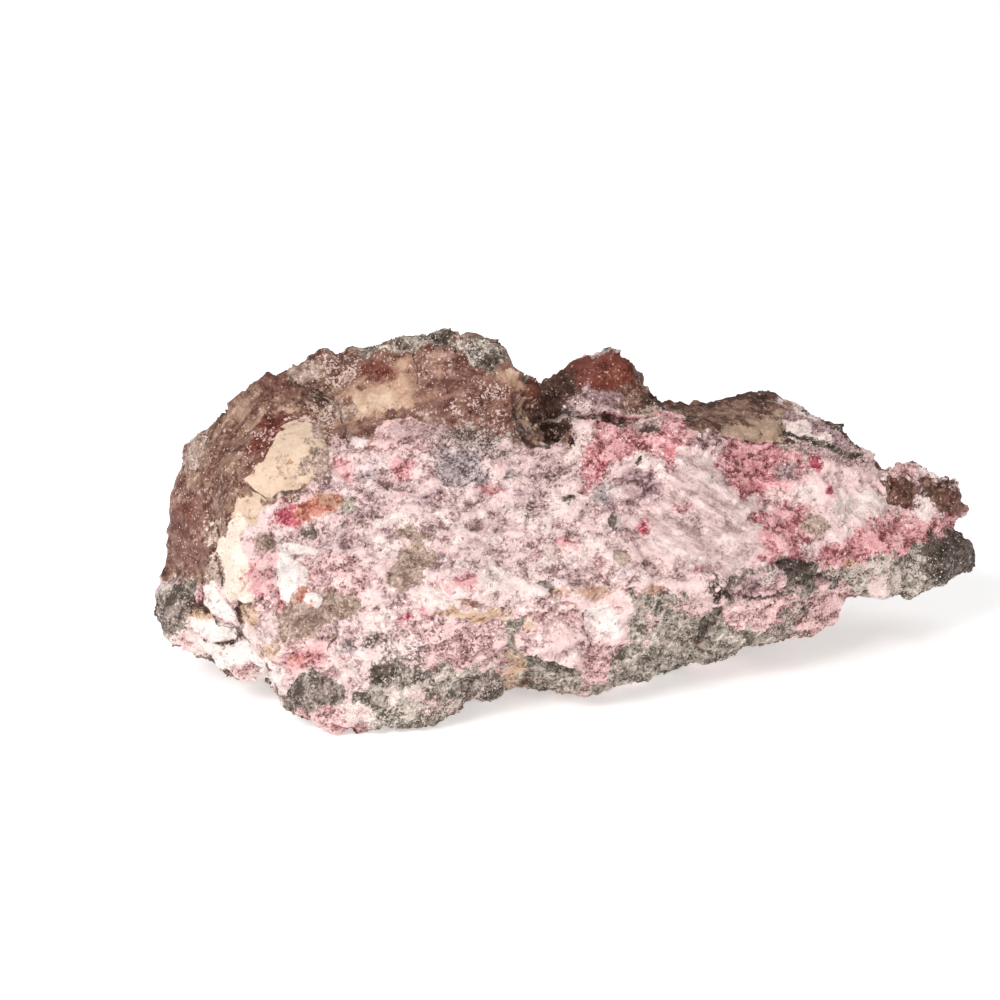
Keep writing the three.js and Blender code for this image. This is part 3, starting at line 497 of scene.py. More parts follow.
soot = [
    (.5, -12, 4, 7, 14), (.55, -12, -2, 3, 9), (.25, 1, 14, -4, 7), (.35, 20, 30, -2, 6), (.3, -28, -19, -5, 3),
    (.3, -36, -28, -12, 6), (.5, -25, -12, -35, -23), (.3, -18, 2, -31, -21), (.35, 5, 16, -17, -11),
    (.3, 40, 54, -25, -16), (.4, 36, 60, -17, -11), (.3, -35, -23, -17, -9), (.25, 14, 20, 4, 14),
]

# Cracks and steps: half width and how far the left side stands above the right, in mm, then
# points across and up.
cracks = [
    (.35, .7, [(-46.2, 2.8), (-44.4, 1.2), (-42.6, .2), (-41.2, .4), (-38.6, 1.5), (-36, 2.2)]),
    (.4, -.7, [(-37.6, 22.4), (-35, 21.2), (-32, 20.1), (-30.4, 18.2), (-29.2, 16.6), (-28.6, 13.4), (-27.8, 10.6)]),
    (.3, .3, [(-15.9, 27.6), (-15.2, 24.8), (-14.9, 21.5)]),
    (.25, .6, [(-30.2, -16.6), (-29.9, -21), (-30.2, -25.5), (-31.4, -28.4)]),
    (.25, .5, [(-41.6, -5.8), (-42.4, -9), (-42, -12.4), (-40.6, -13.6)]),
    (.5, .8, [(4.2, 19.4), (3.8, 15), (5.2, 10.8), (8.6, 9.6)]),
    (.6, 2.2, [(8.8, 15.2), (11.6, 16), (14.2, 15.5), (19.9, 15), (23.6, 14.3), (28.4, 14)]),
    (.3, -.5, [(15.6, -19.5), (15.2, -23), (16.4, -26.2)]),
    (.45, .9, [(5.6, -28.4), (9, -29.6), (13.6, -30.2)]),
    (.45, -.9, [(62, -15), (58, -17.8), (54.6, -21), (52.4, -24.6)]),
    (.35, .5, [(-53.8, -18.6), (-52.2, -22.4), (-48.6, -24.6), (-46.4, -26.6)]),
    (.25, .9, [(8.2, 13.6), (10.6, 14), (13, 13)]),
    (.25, .8, [(8.6, 11.6), (11, 12), (12.8, 10.8)]),
    (.35, .6, [(38.2, 12.4), (42.4, 11.2), (47.4, 10.2), (52.4, 10.6)]),
    (.35, -.7, [(36.8, -16.8), (42, -17.6), (48, -18.2), (52, -17.2)]),
    (.3, -.5, [(-51.6, -6), (-51.8, -11), (-50.6, -16)]),
    (.6, .9, [(38.6, -12.4), (41.6, -17.4), (39.8, -21), (36.6, -24.6)]),
    (.5, -.7, [(50.2, -11.6), (53.4, -13.4), (57.6, -14.8), (61.6, -15)]),
    (.3, .6, [(-54.4, -15.4), (-53.8, -18.8), (-52.6, -21.8), (-49, -23)]),
    (.3, .6, [(-56.4, -24), (-52.4, -25.4), (-48, -26)]),
    (.3, -.6, [(-48.4, -19.8), (-45.6, -19), (-43.6, -17.4)]),
]

# Patches that stand proud of the rock or lie sunk in it: height in mm, left, right, low, high.
swells = [
    (.7, -50.8, -47.2, -12, -6), (.7, -50.2, -44.6, -19, -12), (.6, -53.6, -50.2, -21.6, -15.6),
    (.8, -22.5, -12, 9.8, 13.8), (.6, -26.8, -24.2, 9.6, 11.6), (.5, -24.4, -16.4, -11, -6.4),
    (.5, -24.2, -15.6, -5, -2.4), (.6, 4.6, 15.6, -30, -21.8), (.7, 15, 21, -26.4, -18), (.5, 52.4, 58.2, -.6, 3.4),
    (.6, 12.6, 18.2, 9.8, 15.2), (.4, 31.5, 45, -6, 8.6), (-.8, -49, -45, -23.4, -18.4),
    (-.7, -50.2, -47.2, -27, -22.8), (-.6, -40, -36.4, -12, -8.6), (-1, 3.6, 8.6, 10.8, 18.8),
    (-.8, 8.6, 12.8, 9.6, 13.6), (-.4, -18.6, -11.4, -9, -4.2), (-.5, -41, -30.8, -27.4, -17.8),
    (-.4, -39, -30, -31.6, -26), (-.6, 5.4, 14.4, -33.4, -29.2), (-.9, 24, 32, -24, -16), (-.7, 40, 56, -17, -12),
    (-.5, 41, 50, 0, 11), (.5, 69, 75.6, -2, 3.8), (.5, 75.6, 84.4, -2.4, 4.6),
]

# Rock body: a fine closed skin around the CAD solid, coloured and weathered
stone = {
    "node": "erythrite_rock",
    "skin": .64,  # mm between points
    "smooth": 4,
    "noiseLift": 2.6,  # noise keeps near its middle, and this brings it to the full height
    "relief": {  # size and height in mm
        "Broad": (7, .9), "Clump": (3, 1.3), "Button": (1.5, .56), "Chip": (6, 1.2), "Grit": (1.3, .2),
        "Fold": (2.2, .8), "Rib": (3, 1.8),
    },
    "lean": {"Fold": -58, "Rib": 22},  # degrees from upright; folds lie like the streaks in the chalk
    "crackDepth": .5,
}

# Grains grown on the rock, each kind on its own finishes
grainKinds = {
    "pale_crust_grains": {"on": ("crust", "chalk", "lilac"), "from": .35, "perMm2": 1.8, "size": (.3, .75),
                          "seed": 3},
    "pink_druse_grains": {"on": ("druse", "rose", "crimson"), "from": .35, "perMm2": 3.4, "size": (.3, .7),
                          "seed": 8},
    "green_grey_grains": {"on": ("olive", "moss"), "from": .35, "perMm2": .8, "size": (.3, .65), "seed": 15},
    "dark_stone_grains": {"on": ("coal", "slate", "ash"), "from": .35, "perMm2": .9, "size": (.3, .65), "seed": 23},
    "frost_grains": {"on": ("frost",), "from": .03, "perMm2": 5.5, "size": (.2, .5), "seed": 31, "frost": 1.3,
                     "patchy": 1.0},
    "botryoidal_beads": {"on": ("beads",), "from": .2, "perMm2": .8, "size": (.7, 1.7), "seed": 41, "round": True},
}

# What all the grains share
grain = {
    "tones": (-.25, .3),  # darkest and palest, against the rock they grow on
    "patchy": .75,
    "patch": 1 / .35,  # mm
    "patchEdge": (.42, .58),
    "full": .8,  # share of the kind's own finishes from which it grows at its full density
    "dent": 1 / 2.3,  # size of the dents and how deep they are, for a grain one across
    "depth": .9,
    "roundDepth": .25,
    "turn": (6.28, 6.28, 6.28),
    "stretch": ((.7, .7, .6), (1.4, 1.3, 1.1)),
}

# How the finishes are painted onto the skin
brush = {
    "waver": [(7, 1.6), (3, 1.7), (1.5, 1.1)],  # size of wave and how far it moves an edge, mm
    "seeds": (5, 31, 77),  # for the wandering across, up and in and out
    "covers": .85,  # share of what lies below that a zone usually covers
    "tightest": .35,  # part of the waver that the smallest zone's edge takes
    "looseFrom": 22,  # mm of width and height together from which an edge takes it all
    "soft": .42,  # part of a zone's size over which it fades, and the most for a small one
    "softest": .8,
    "squareness": 2.4,
    "frayed": .14,
    "driftStretch": (.8, .9, 1.15),
    "mottleSoft": .7,
    "spotSoft": .5,
    "edgeOn": .12,  # how far the rock still faces the eye where the seen side ends
    "edgeWaver": .06,
    "everywhere": {"frost": .02, "soot": .05},
    "sootOffFolds": .7,
    "frostOff": {"umber": .6, "sand": .5, "peach": 1},  # how far these finishes stay clean
    "crackWaver": .35,
    "crackEdge": (2.4, .8),  # in half widths
    "stepReach": (3, .4),  # mm over which a step beside a crack dies out
    "farOff": 9.0,
}


def rangeMask(across, up, left, right, low, high, turn=0, soft=brush["soft"], fray=0):
    dx, dy = across - (left + right) / 2, up - (low + high) / 2
    angle = math.radians(turn)
    u = (dx * math.cos(angle) + dy * math.sin(angle)) / ((right - left) / 2)
    v = (dy * math.cos(angle) - dx * math.sin(angle)) / ((high - low) / 2)
    square = brush["squareness"]
    reach = (np.abs(u) ** square + np.abs(v) ** square) ** (1 / square)
    return smoothstep(1 + soft, 1 - soft, reach + brush["frayed"] * fray)


def segmentDistance(across, up, start, end):
    # How far each point is from a segment, and on which side of it (1 for the left).
    ax, ay = start
    bx, by = end
    along = ((across - ax) * (bx - ax) + (up - ay) * (by - ay)) / ((bx - ax) ** 2 + (by - ay) ** 2)
    along = np.clip(along, 0, 1)
    side = np.sign((bx - ax) * (up - ay) - (by - ay) * (across - ax))
    return np.hypot(across - ax - along * (bx - ax), up - ay - along * (by - ay)), side


def outlineMask(across, up, corners, soft=.8):
    inside = np.zeros(len(across), bool)
    nearest = np.full(len(across), 1e9)
    for start, end in zip(corners, corners[1:] + corners[:1]):
        nearest = np.minimum(nearest, segmentDistance(across, up, start, end)[0])
        (ax, ay), (bx, by) = start, end
        crosses = (ay > up) != (by > up)
        inside ^= crosses & (across < ax + (up - ay) * (bx - ax) / ((by - ay) or 1e-9))
    return smoothstep(-soft, soft, np.where(inside, nearest, -nearest))


def lay(shares, finish, mask):
    for name in shares:
        shares[name] = shares[name] * (1 - mask)
    shares[finish] = shares[finish] + mask


def allOf(finish, count):
    return {name: np.full(count, float(name == finish)) for name in finishes}


def paintSeen(points, plainX, plainY, warpX, warpY, fray):
    # The side towards the eye: crust and bodies of rock, zones, drifts, plates, then mottles.
    shares = allOf("crust", len(points))
    across, up = plainX + warpX, plainY + warpY
    for name, corners in bodies.items():
        lay(shares, name, outlineMask(across, up, corners))
    for name, left, right, low, high, *more in zones:
        turn, share = (*more, *(0, brush["covers"])[len(more):])
        loose = min(1, max(brush["tightest"], (right - left + high - low) / brush["looseFrom"]))
        mask = rangeMask(plainX + loose * warpX, plainY + loose * warpY, left, right, low, high, turn,
                         soft=min(brush["softest"], brush["soft"] / loose ** .6), fray=fray)
        lay(shares, name, mask * share)
    stretched = points * brush["driftStretch"]
    for name, size, offset, low, high, share in drifts:
        drift = .9 * noiseField(stretched, size, offset) + .4 * noiseField(points, size / 2.4, offset)
        lay(shares, name, share * shares["crust"] * smoothstep(low, high, drift))
    for name, loose, soft, corners in plates:
        lay(shares, name, outlineMask(plainX + loose * warpX, plainY + loose * warpY, corners, soft))
    for name, share, *span in mottles:
        lay(shares, name, share * rangeMask(across, up, *span, soft=brush["mottleSoft"]))
    return shares


# The sides turned away: broken brown and grey-green rock with smears of the crust
hiddenSide = {
    "noises": {  # size in mm, offset and stretch
        "broad": (15, 2, (.7, 1, 1.2)),
        "middle": (8, 12, (1, 1, 1)),
        "veins": (11, 40, (.55, 1, 1.3)),
        "small": (3.6, 60, (1, 1, 1)),
        "fine": (1.6, 95, (1, 1, 1)),
    },
    "ragged": {"small": .34, "fine": .24},
    "smears": [
        # finish, share, where in the noise it starts and is full, and what the noise is made of
        ("garnet", 1, 0, .4, {"middle": 1}), ("moss", .85, .12, .42, {"veins": 1}),
        ("olive", .9, .02, .34, {"broad": 1}), ("ash", .7, .3, .6, {"broad": 1, "middle": -.5}),
        ("coal", .5, .46, .66, {"broad": 1, "middle": -.6}), ("blush", .75, .24, .5, {"veins": -1}),
        ("crust", .8, .3, .5, {"veins": -1, "middle": .3}), ("druse", .7, .46, .62, {"veins": -1, "middle": .4}),
    ],
    "chalkLine": {"share": .7, "edge": (.05, .02), "middle": 1, "veins": .5, "onlyAbove": .1},
}


def paintHidden(points):
    shares = allOf("jasper", len(points))
    noises = {name: noiseField(points * stretch, size, offset)
              for name, (size, offset, stretch) in hiddenSide["noises"].items()}

    def mixed(parts):
        return sum(weight * noises[name] for name, weight in parts.items())

    ragged = mixed(hiddenSide["ragged"])
    for finish, share, low, high, parts in hiddenSide["smears"]:
        lay(shares, finish, share * smoothstep(low, high, mixed(parts) + ragged))
    line = hiddenSide["chalkLine"]
    thin = smoothstep(*line["edge"], np.abs(line["middle"] * noises["middle"] + line["veins"] * noises["veins"]))
    lay(shares, "chalk", line["share"] * thin * (noises["small"] > line["onlyAbove"]))
    return shares


def layCracks(across, up):
    # Distance from the nearest crack in half widths, the side of it, and the height of the steps.
    count = len(across)
    gap, side, step = np.full(count, brush["farOff"]), np.zeros(count), np.zeros(count)
    for half, rise, line in cracks:
        near, turned = np.full(count, brush["farOff"]), np.zeros(count)
        for start, end in zip(line, line[1:]):
            away, left = segmentDistance(across, up, start, end)
            turned = np.where(away < near, left, turned)
            near = np.minimum(near, away)
        step += rise * (smoothstep(-.5, .5, near * turned) - .5) * smoothstep(*brush["stepReach"], near)
        side = np.where(near / half < gap, turned, side)
        gap = np.minimum(gap, near / half)
    return gap, side, step


def paintStone(points, normals):
    # Shares of each finish at every point, and the overlays, as fields by name.
    count = len(points)
    warpX, warpY, fray = (sum(reach * noiseField(points, size, seed) for size, reach in brush["waver"])
                          for seed in brush["seeds"])
    plainX, plainY = onScreen(points)
    sight = eye - points
    facing = (normals * sight).sum(axis=1) / np.linalg.norm(sight, axis=1)
    seen = smoothstep(-brush["edgeOn"], brush["edgeOn"], facing + brush["edgeWaver"] * warpX)
    front, hidden = paintSeen(points, plainX, plainY, warpX, warpY, fray), paintHidden(points)
    fields = {name: seen * front[name] + (1 - seen) * hidden[name] for name in finishes}

    across, up = plainX + warpX, plainY + warpY
    painted = {"frost": frost, "soot": soot, "worn": worn, "fold": folds, "rib": ribs, "beads": beads}
    for name, spots in painted.items():
        fields[name] = np.full(count, float(brush["everywhere"].get(name, 0)))
        for share, *span in spots:
            mask = share * seen * rangeMask(across, up, *span, soft=brush["spotSoft"])
            fields[name] = np.maximum(fields[name], mask)
    fields["soot"] *= 1 - brush["sootOffFolds"] * fields["fold"]
    fields["frost"] *= np.clip(1 - sum(clean * fields[name] for name, clean in brush["frostOff"].items()), 0, 1)
    gap, side, step = layCracks(plainX + brush["crackWaver"] * warpX, plainY + brush["crackWaver"] * warpY)
    fields["crackSide"] = gap * side
    fields["crack"] = smoothstep(*brush["crackEdge"], gap) * seen
    fields["swell"] = sum(height * seen * rangeMask(across, up, *span) for height, *span in swells) + step * seen
    fields["coat"] = sum(fields[name] * finishes[name]["coat"] for name in finishes)
    fields["bareGrey"] = sum(fields[name] for name in ("olive", "ash", "coal", "moss"))
    for kind, values in grainKinds.items():
        fields[kind] = sum(fields[name] for name in values["on"])

    # The shader lays the finishes one over another, so each one's share is of what lies so far.
    below = np.zeros(count)
    for name in finishes:
        below = below + fields[name]
        fields[name] = fields[name] / np.maximum(below, 1e-6)
    return fields


def setField(mesh, name, values):
    field = mesh.attributes.new(name, "FLOAT", "POINT")
    field.data.foreach_set("value", np.asarray(values, dtype=np.float32))


def meshArrays(mesh):
    points = np.empty(len(mesh.vertices) * 3)
    normals = np.empty(len(mesh.vertices) * 3)
    mesh.vertices.foreach_get("co", points)
    mesh.vertices.foreach_get("normal", normals)
    return points.reshape(-1, 3), normals.reshape(-1, 3)


def fineSkin(node):
    mesh = bpy.data.meshes.new("skin")
    bm = bmesh.new()
    bm.from_mesh(node.data)
    bmesh.ops.remove_doubles(bm, verts=bm.verts, dist=1e-6)
    bm.to_mesh(mesh)
    bm.free()
    source = bpy.data.objects.new("skin", mesh)
    bpy.context.scene.collection.objects.link(source)
    remesh = source.modifiers.new("remesh", "REMESH")
    remesh.mode = "VOXEL"
    remesh.voxel_size = stone["skin"] * mm
    relax = source.modifiers.new("relax", "SMOOTH")
    relax.factor, relax.iterations = .5, stone["smooth"]
    result = bpy.data.meshes.new_from_object(source.evaluated_get(bpy.context.evaluated_depsgraph_get()))
    bpy.data.objects.remove(source)
    return result


def reliefTree(values, material):
    tree, given = meshTree("weathering", values, "Stone")
    place = vector("SCALE", put("GeometryNodeInputPosition"), scale=1 / mm)
    coat, worn, lift = namedField("coat"), namedField("worn"), stone["noiseLift"]
    bare = minus(1.0, calc("MAXIMUM", coat, worn), clamp=True)

    def scaled(size, stretch=(1, 1, 1), waver=0.0, shift=0.0):
        spot = vector("SCALE", vector("MULTIPLY", place, stretch), scale=calc("DIVIDE", 1.0, size))
        if shift:
            spot = vector("ADD", spot, (shift, shift * 2, -shift))
        if waver:
            stir = cloud(spot, 1 / 1.7).node.outputs["Color"]
            spot = vector("ADD", spot, shove(stir, waver))
        return spot

    def facets(size, height, shift):
        # Every cell of broken rock is a small plane with its own lean.
        at = scaled(size, waver=.35, shift=shift)
        cell = cells(at, 1)
        lean = vector("SUBTRACT", cell.outputs["Color"], (.5, .5, .5))
        rise = vector("DOT_PRODUCT", vector("SUBTRACT", at, cell.outputs["Position"]), lean)
        return times(times(rise.node.outputs["Value"], lift), height)

    def slants(kind):
        # Long waves across the face, leaning from upright.
        turned = leanOver(scaled(given[kind + " Size"]), given[kind + " Lean"])
        wave = cloud(vector("MULTIPLY", turned, (1, .5, .2)), 1, 3, .55)
        return times(spread(wave, times(given[kind + " Height"], lift)), namedField(kind.lower()))

    broad = cloud(scaled(given["Broad Size"]), 1, 3)
    lumps = cloud(scaled(given["Clump Size"], (.62, .8, 1.35), .7), 1, 3, .55)
    clump = mapTo(lumps, .40, .60, smooth=True)
    buttonCell = put("ShaderNodeTexVoronoi",
                     {"Vector": scaled(given["Button Size"], waver=.6, shift=3.0), "Scale": 1.0, "Smoothness": .2},
                     feature="SMOOTH_F1")
    button = mapTo(buttonCell, .7, .1, smooth=True)
    grit = cloud(scaled(given["Grit Size"]), 1, 4, .65)
    gaps = times(coat, calc("MULTIPLY_ADD", clump, -.7, 1.0))  # buttons grow between the clumps
    unworn = calc("MULTIPLY_ADD", worn, -.7, 1.0)
    smallSize, smallHeight = times(given["Chip Size"], .42), times(given["Chip Height"], .35)
    height = plus(
        spread(broad, times(given["Broad Height"], lift)),
        times(spread(clump, given["Clump Height"]), coat),
        times(spread(button, given["Button Height"], .4), gaps),
        times(bare, facets(given["Chip Size"], given["Chip Height"], 7.0)),
        times(bare, facets(smallSize, smallHeight, 17.0)),
        times(spread(grit, times(given["Grit Height"], lift)), unworn),
        slants("Fold"),
        slants("Rib"),
        namedField("swell"),
        times(namedField("crack"), times(given["Crack Depth"], -1.0)),
    )
    kept = stored(stored(given["Stone"], "clump", clump), "button", button)
    offset = vector("SCALE", put("GeometryNodeInputNormal"), scale=times(height, mm))
    moved = put("GeometryNodeSetPosition", {"Geometry": kept, "Offset": offset})
    finishTree(put("GeometryNodeSetShadeSmooth", {"Geometry": moved, "Shade Smooth": True}), "Stone", material)
    return tree


def runTree(owner, tree, values):
    # Puts the tree on the object, sets its inputs and gives back the plain mesh it makes.
    modifier = owner.modifiers.new(tree.name, "NODES")
    modifier.node_group = tree
    for item in tree.interface.items_tree:
        if item.item_type == "SOCKET" and item.in_out == "INPUT" and item.name in values:
            modifier[item.identifier] = values[item.name]
    made = bpy.data.meshes.new_from_object(owner.evaluated_get(bpy.context.evaluated_depsgraph_get()))
    owner.modifiers.remove(modifier)
    return made


# The look of the stone itself
mosaic = {
    # Noises: size in mm, detail, roughness, and a shift that makes another one of the same kind
    "stir": (1.4, 3),
    "speck": (.6, 3, .6),
    "blot": (2.2, 6, .7),
    "edge": (2.4, 8, .7),
    "otherEdge": (2.4, 8, .7, 40),
    "thread": (2.3, 6, .62, 9),
    "streak": (1.7, 6, .66, 17),
    "cell": 1,  # mm
    "grain": .5,
    "stirred": 1.5,  # mm that the patches are pushed about
    "threadStretch": (.8, .9, 1.2),
    "streakStretch": (1, .5, .16),
    "threadWidth": .035,
    "creaseShadeWidth": .022,
    "speckle": 3.2,  # contrast of the specks
    # Tones of even and of grainy patches, and the painted light and shade of the folds: what each is made of
    "calm": {"middle": .66, "blot": 1.2, "speck": .6, "net": -.12},
    "busy": {"middle": .43, "blot": 1.9, "blur": 1.3, "speckle": .5, "grain": .36, "net": -.28},
    "foldLightAndShade": {"streak": 2, "creaseShadeTone": -.3, "speck": .7},
    "ragged": {"edge": 1.8, "speck": 1.4, "foldLightAndShade": -.6, "fold": .22},  # where the even patches end
    "raggedEdge": .08,
    "streakTone": -.12,
    "stops": (.04, .22, .5, .78, .96),  # where along the tone each of a finish's five lies
    "meeting": {"share": 1.3, "less": -.15, "edge": 1.7},  # where one finish meets the next
    # Strewn pale and dark grains, and painted shade in the cracks
    "gather": (.42, .58),
    "pale": {"gathered": .9, "alone": .1, "speckle": .9, "grain": .5, "edge": (.5, .62)},
    "dark": {"net": 1.3, "speckle": .5, "edge": (.42, .56)},
    "hairline": {"speckle": .6, "edge": (.8, .3), "broken": (.42, .53, .2, 1), "covers": .9},
    "covers": .85,
    "frost": (.74, .55, .51),
    "rime": (.74, .65, .58),
    "soot": (.10, .065, .065),
    "crackShade": (.05, .03, .025),
    # Bumps
    "bump": {"cell": -.3, "edge": 1.2, "evenEdge": (.42, .62), "even": -.7, "full": 1.15},
    "bumpStrength": .9,
    "bumpDepth": .21,  # mm
    "shine": .2,
}


def blend(share, under, over, kind="RGBA"):
    return put("ShaderNodeMix", {"Factor": share, "A": under, "B": over}, data_type=kind)


def stoneMaterial(name):
    material = bpy.data.materials.new(name)
    material.use_nodes = True
    startTree(material.node_tree).nodes.clear()

    def field(title):
        return put("ShaderNodeAttribute", attribute_name=title).node.outputs["Fac"]

    def noiseColour(spot, title):
        return cloud(spot, *mosaic[title]).node.outputs["Color"]

    def lines(value, width):
        # Thin lines where the noise passes its middle
        return mapTo(calc("ABSOLUTE", spread(value, 1.0)), width, .0, smooth=True)

    place = vector("SCALE", put("ShaderNodeTexCoord").node.outputs["Object"], scale=1 / mm)
    stirred = vector("ADD", place, shove(noiseColour(place, "stir"), mosaic["stirred"]))
    cell = cells(stirred, mosaic["cell"])
    speck, blot = split(noiseColour(place, "speck")), split(noiseColour(stirred, "blot"))
    edges = split(noiseColour(place, "edge")) + split(noiseColour(place, "otherEdge"))
    speckle = [spread(value, mosaic["speckle"]) for value in speck]
    grainDice = split(cells(stirred, mosaic["grain"]).outputs["Color"])

    # Fine dark threads run between the pale patches.
    net = lines(cloud(vector("MULTIPLY", stirred, mosaic["threadStretch"]), *mosaic["thread"]), mosaic["threadWidth"])

    # Streaks, one set for each lean, and creases along the folds
    layered = {}
    for lean in sorted({finish["lean"] for finish in finishes.values() if "lean" in finish}):
        turned = leanOver(place, -math.radians(lean))
        layered[lean] = cloud(vector("MULTIPLY", turned, mosaic["streakStretch"]), *mosaic["streak"])
    # Streaks, one set for each lean, and painted shade in dark lines along the creases of the folds
    foldStreaks, fold = layered[stone["lean"]["Fold"]], field("fold")
    creaseShade = lines(foldStreaks, mosaic["creaseShadeWidth"])
    # Painted light and shade of the folds, from the streaks and the dark creases
    parts = mosaic["foldLightAndShade"]
    foldLightAndShade = times(plus(spread(foldStreaks, parts["streak"]), times(creaseShade, parts["creaseShadeTone"]),
                        spread(speck[2], parts["speck"])), fold)

    parts = mosaic["calm"]
    calmTone = plus(parts["middle"], spread(blot[0], parts["blot"]), spread(speck[0], parts["speck"]),
                    times(net, parts["net"]), foldLightAndShade)
    parts = mosaic["busy"]
    busyTone = plus(parts["middle"], spread(blot[0], parts["blot"]), spread(blot[1], parts["blur"]),
                    times(speckle[0], parts["speckle"]), spread(grainDice[0], parts["grain"]),
                    times(net, parts["net"]), field("tone"), foldLightAndShade)
    # On the crust the clump field follows the raised clumps of the relief, so the hollows between them take the
    # darker, grainy tone: the grain is the crust's own, the darkening in the hollows is painted shade.
    parts = mosaic["ragged"]
    ragged = plus(field("clump"), spread(edges[3], parts["edge"]), spread(speck[1], parts["speck"]),
                  times(foldLightAndShade, parts["foldLightAndShade"]), times(fold, parts["fold"]))

    colour, polish = None, None
    ends = {mosaic["stops"][0]: 0, mosaic["stops"][-1]: -1}
    for index, (title, finish) in enumerate(finishes.items()):
        evenness = mapTo(ragged, finish["grainy"] - mosaic["raggedEdge"], finish["grainy"] + mosaic["raggedEdge"],
                         smooth=True)
        tone = blend(evenness, busyTone, calmTone, "FLOAT")
        if "patchy" in finish:
            tone = plus(tone, spread(edges[2], finish["patchy"]))
        # Streaks along a lean: layering in the red rock, painted light and shade of the folds on chalk and silk, and
        # pale streaks with painted light and shade of the ribs on olive and ash
        if "lean" in finish:
            tone = plus(tone, spread(layered[finish["lean"]], finish["streaked"]), mosaic["streakTone"])
        ramp = put("ShaderNodeValToRGB", {"Fac": tone})
        stops = ramp.node.color_ramp.elements
        for at, shade in zip(mosaic["stops"], finish["tones"]):
            stop = stops[ends[at]] if at in ends else stops.new(at)
            stop.position, stop.color = at, (*shade, 1)
        if colour is None:
            colour, polish = ramp, plus(finish["rough"], 0.0)
            continue
        parts = mosaic["meeting"]
        share = plus(calc("MULTIPLY_ADD", field(title), parts["share"], parts["less"]),
                     spread(edges[index % 6], parts["edge"]), spread(speck[1 + index % 2], finish["mixed"]))
        share = mapTo(share, .5 - finish["soft"], .5 + finish["soft"], smooth=True)
        colour = blend(share, colour, ramp)
        polish = blend(share, polish, finish["rough"], "FLOAT")

    # Pale and dark grains strewn over the finishes, and painted shade in the cracks
    gather, parts = mapTo(edges[4], *mosaic["gather"]), mosaic["pale"]
    pale = times(field("frost"), plus(times(gather, parts["gathered"]), parts["alone"]))
    pale = plus(pale, times(speckle[1], parts["speckle"]), spread(grainDice[1], parts["grain"]))
    strewn = blend(field("bareGrey"), (*mosaic["frost"], 1), (*mosaic["rime"], 1))
    colour = blend(times(mapTo(pale, *parts["edge"], smooth=True), mosaic["covers"]), colour, strewn)
    parts = mosaic["dark"]
    dark = times(times(field("soot"), plus(gather, times(net, parts["net"]))), field("coat"))
    dark = mapTo(plus(dark, times(speckle[2], parts["speckle"])), *parts["edge"], smooth=True)
    colour = blend(times(dark, mosaic["covers"]), colour, (*mosaic["soot"], 1))
    # A dark hairline of painted shade along each crack
    parts = mosaic["hairline"]
    hairline = calc("ABSOLUTE", plus(field("crackSide"), times(speckle[1], parts["speckle"])))
    hairline = times(mapTo(hairline, *parts["edge"], smooth=True), field("crack"))
    hairline = times(hairline, mapTo(edges[1], *parts["broken"]))
    colour = blend(times(hairline, parts["covers"]), colour, (*mosaic["crackShade"], 1))

    parts = mosaic["bump"]
    height = plus(times(cell.outputs["Distance"], parts["cell"]), speck[0], times(edges[5], parts["edge"]))
    even = times(mapTo(ragged, *parts["evenEdge"], smooth=True), field("coat"))
    even = calc("MAXIMUM", even, field("worn"))
    height = times(height, calc("MULTIPLY_ADD", even, parts["even"], parts["full"]))
    bump = put("ShaderNodeBump", {"Strength": mosaic["bumpStrength"], "Distance": mosaic["bumpDepth"] * mm,
                                  "Height": height})
    surface = put("ShaderNodeBsdfPrincipled", {"Base Color": colour, "Roughness": polish, "Normal": bump,
                                               "Specular IOR Level": mosaic["shine"]})
    put("ShaderNodeOutputMaterial", {"Surface": surface})
    return material


finishRock = stoneMaterial("erythrite_on_jasper")
print("materials made")

rockMesh = fineSkin(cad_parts[stone["node"]])
points, normals = meshArrays(rockMesh)
for name, values in paintStone(points / mm, normals).items():
    setField(rockMesh, name, values)
print("skin painted:", len(rockMesh.vertices), "points")

reliefValues = {f"{kind} {what}": float(value) for kind, pair in stone["relief"].items()
                for what, value in zip(("Size", "Height"), pair)}
reliefValues |= {f"{kind} Lean": math.radians(-lean) for kind, lean in stone["lean"].items()}
reliefValues["Crack Depth"] = stone["crackDepth"]
rock = bpy.data.objects.new("erythrite_specimen", rockMesh)
bpy.context.scene.collection.objects.link(rock)
weathered = runTree(rock, reliefTree(reliefValues, finishRock), reliefValues)


def insideBox(mesh):
    points, _ = meshArrays(mesh)
    mesh.vertices.foreach_set("co", np.clip(points, cadLow, cadHigh).ravel())
    mesh.update()


insideBox(weathered)
rock.data = weathered
print("rock weathered:", sum(len(p.vertices) - 2 for p in weathered.polygons), "triangles")


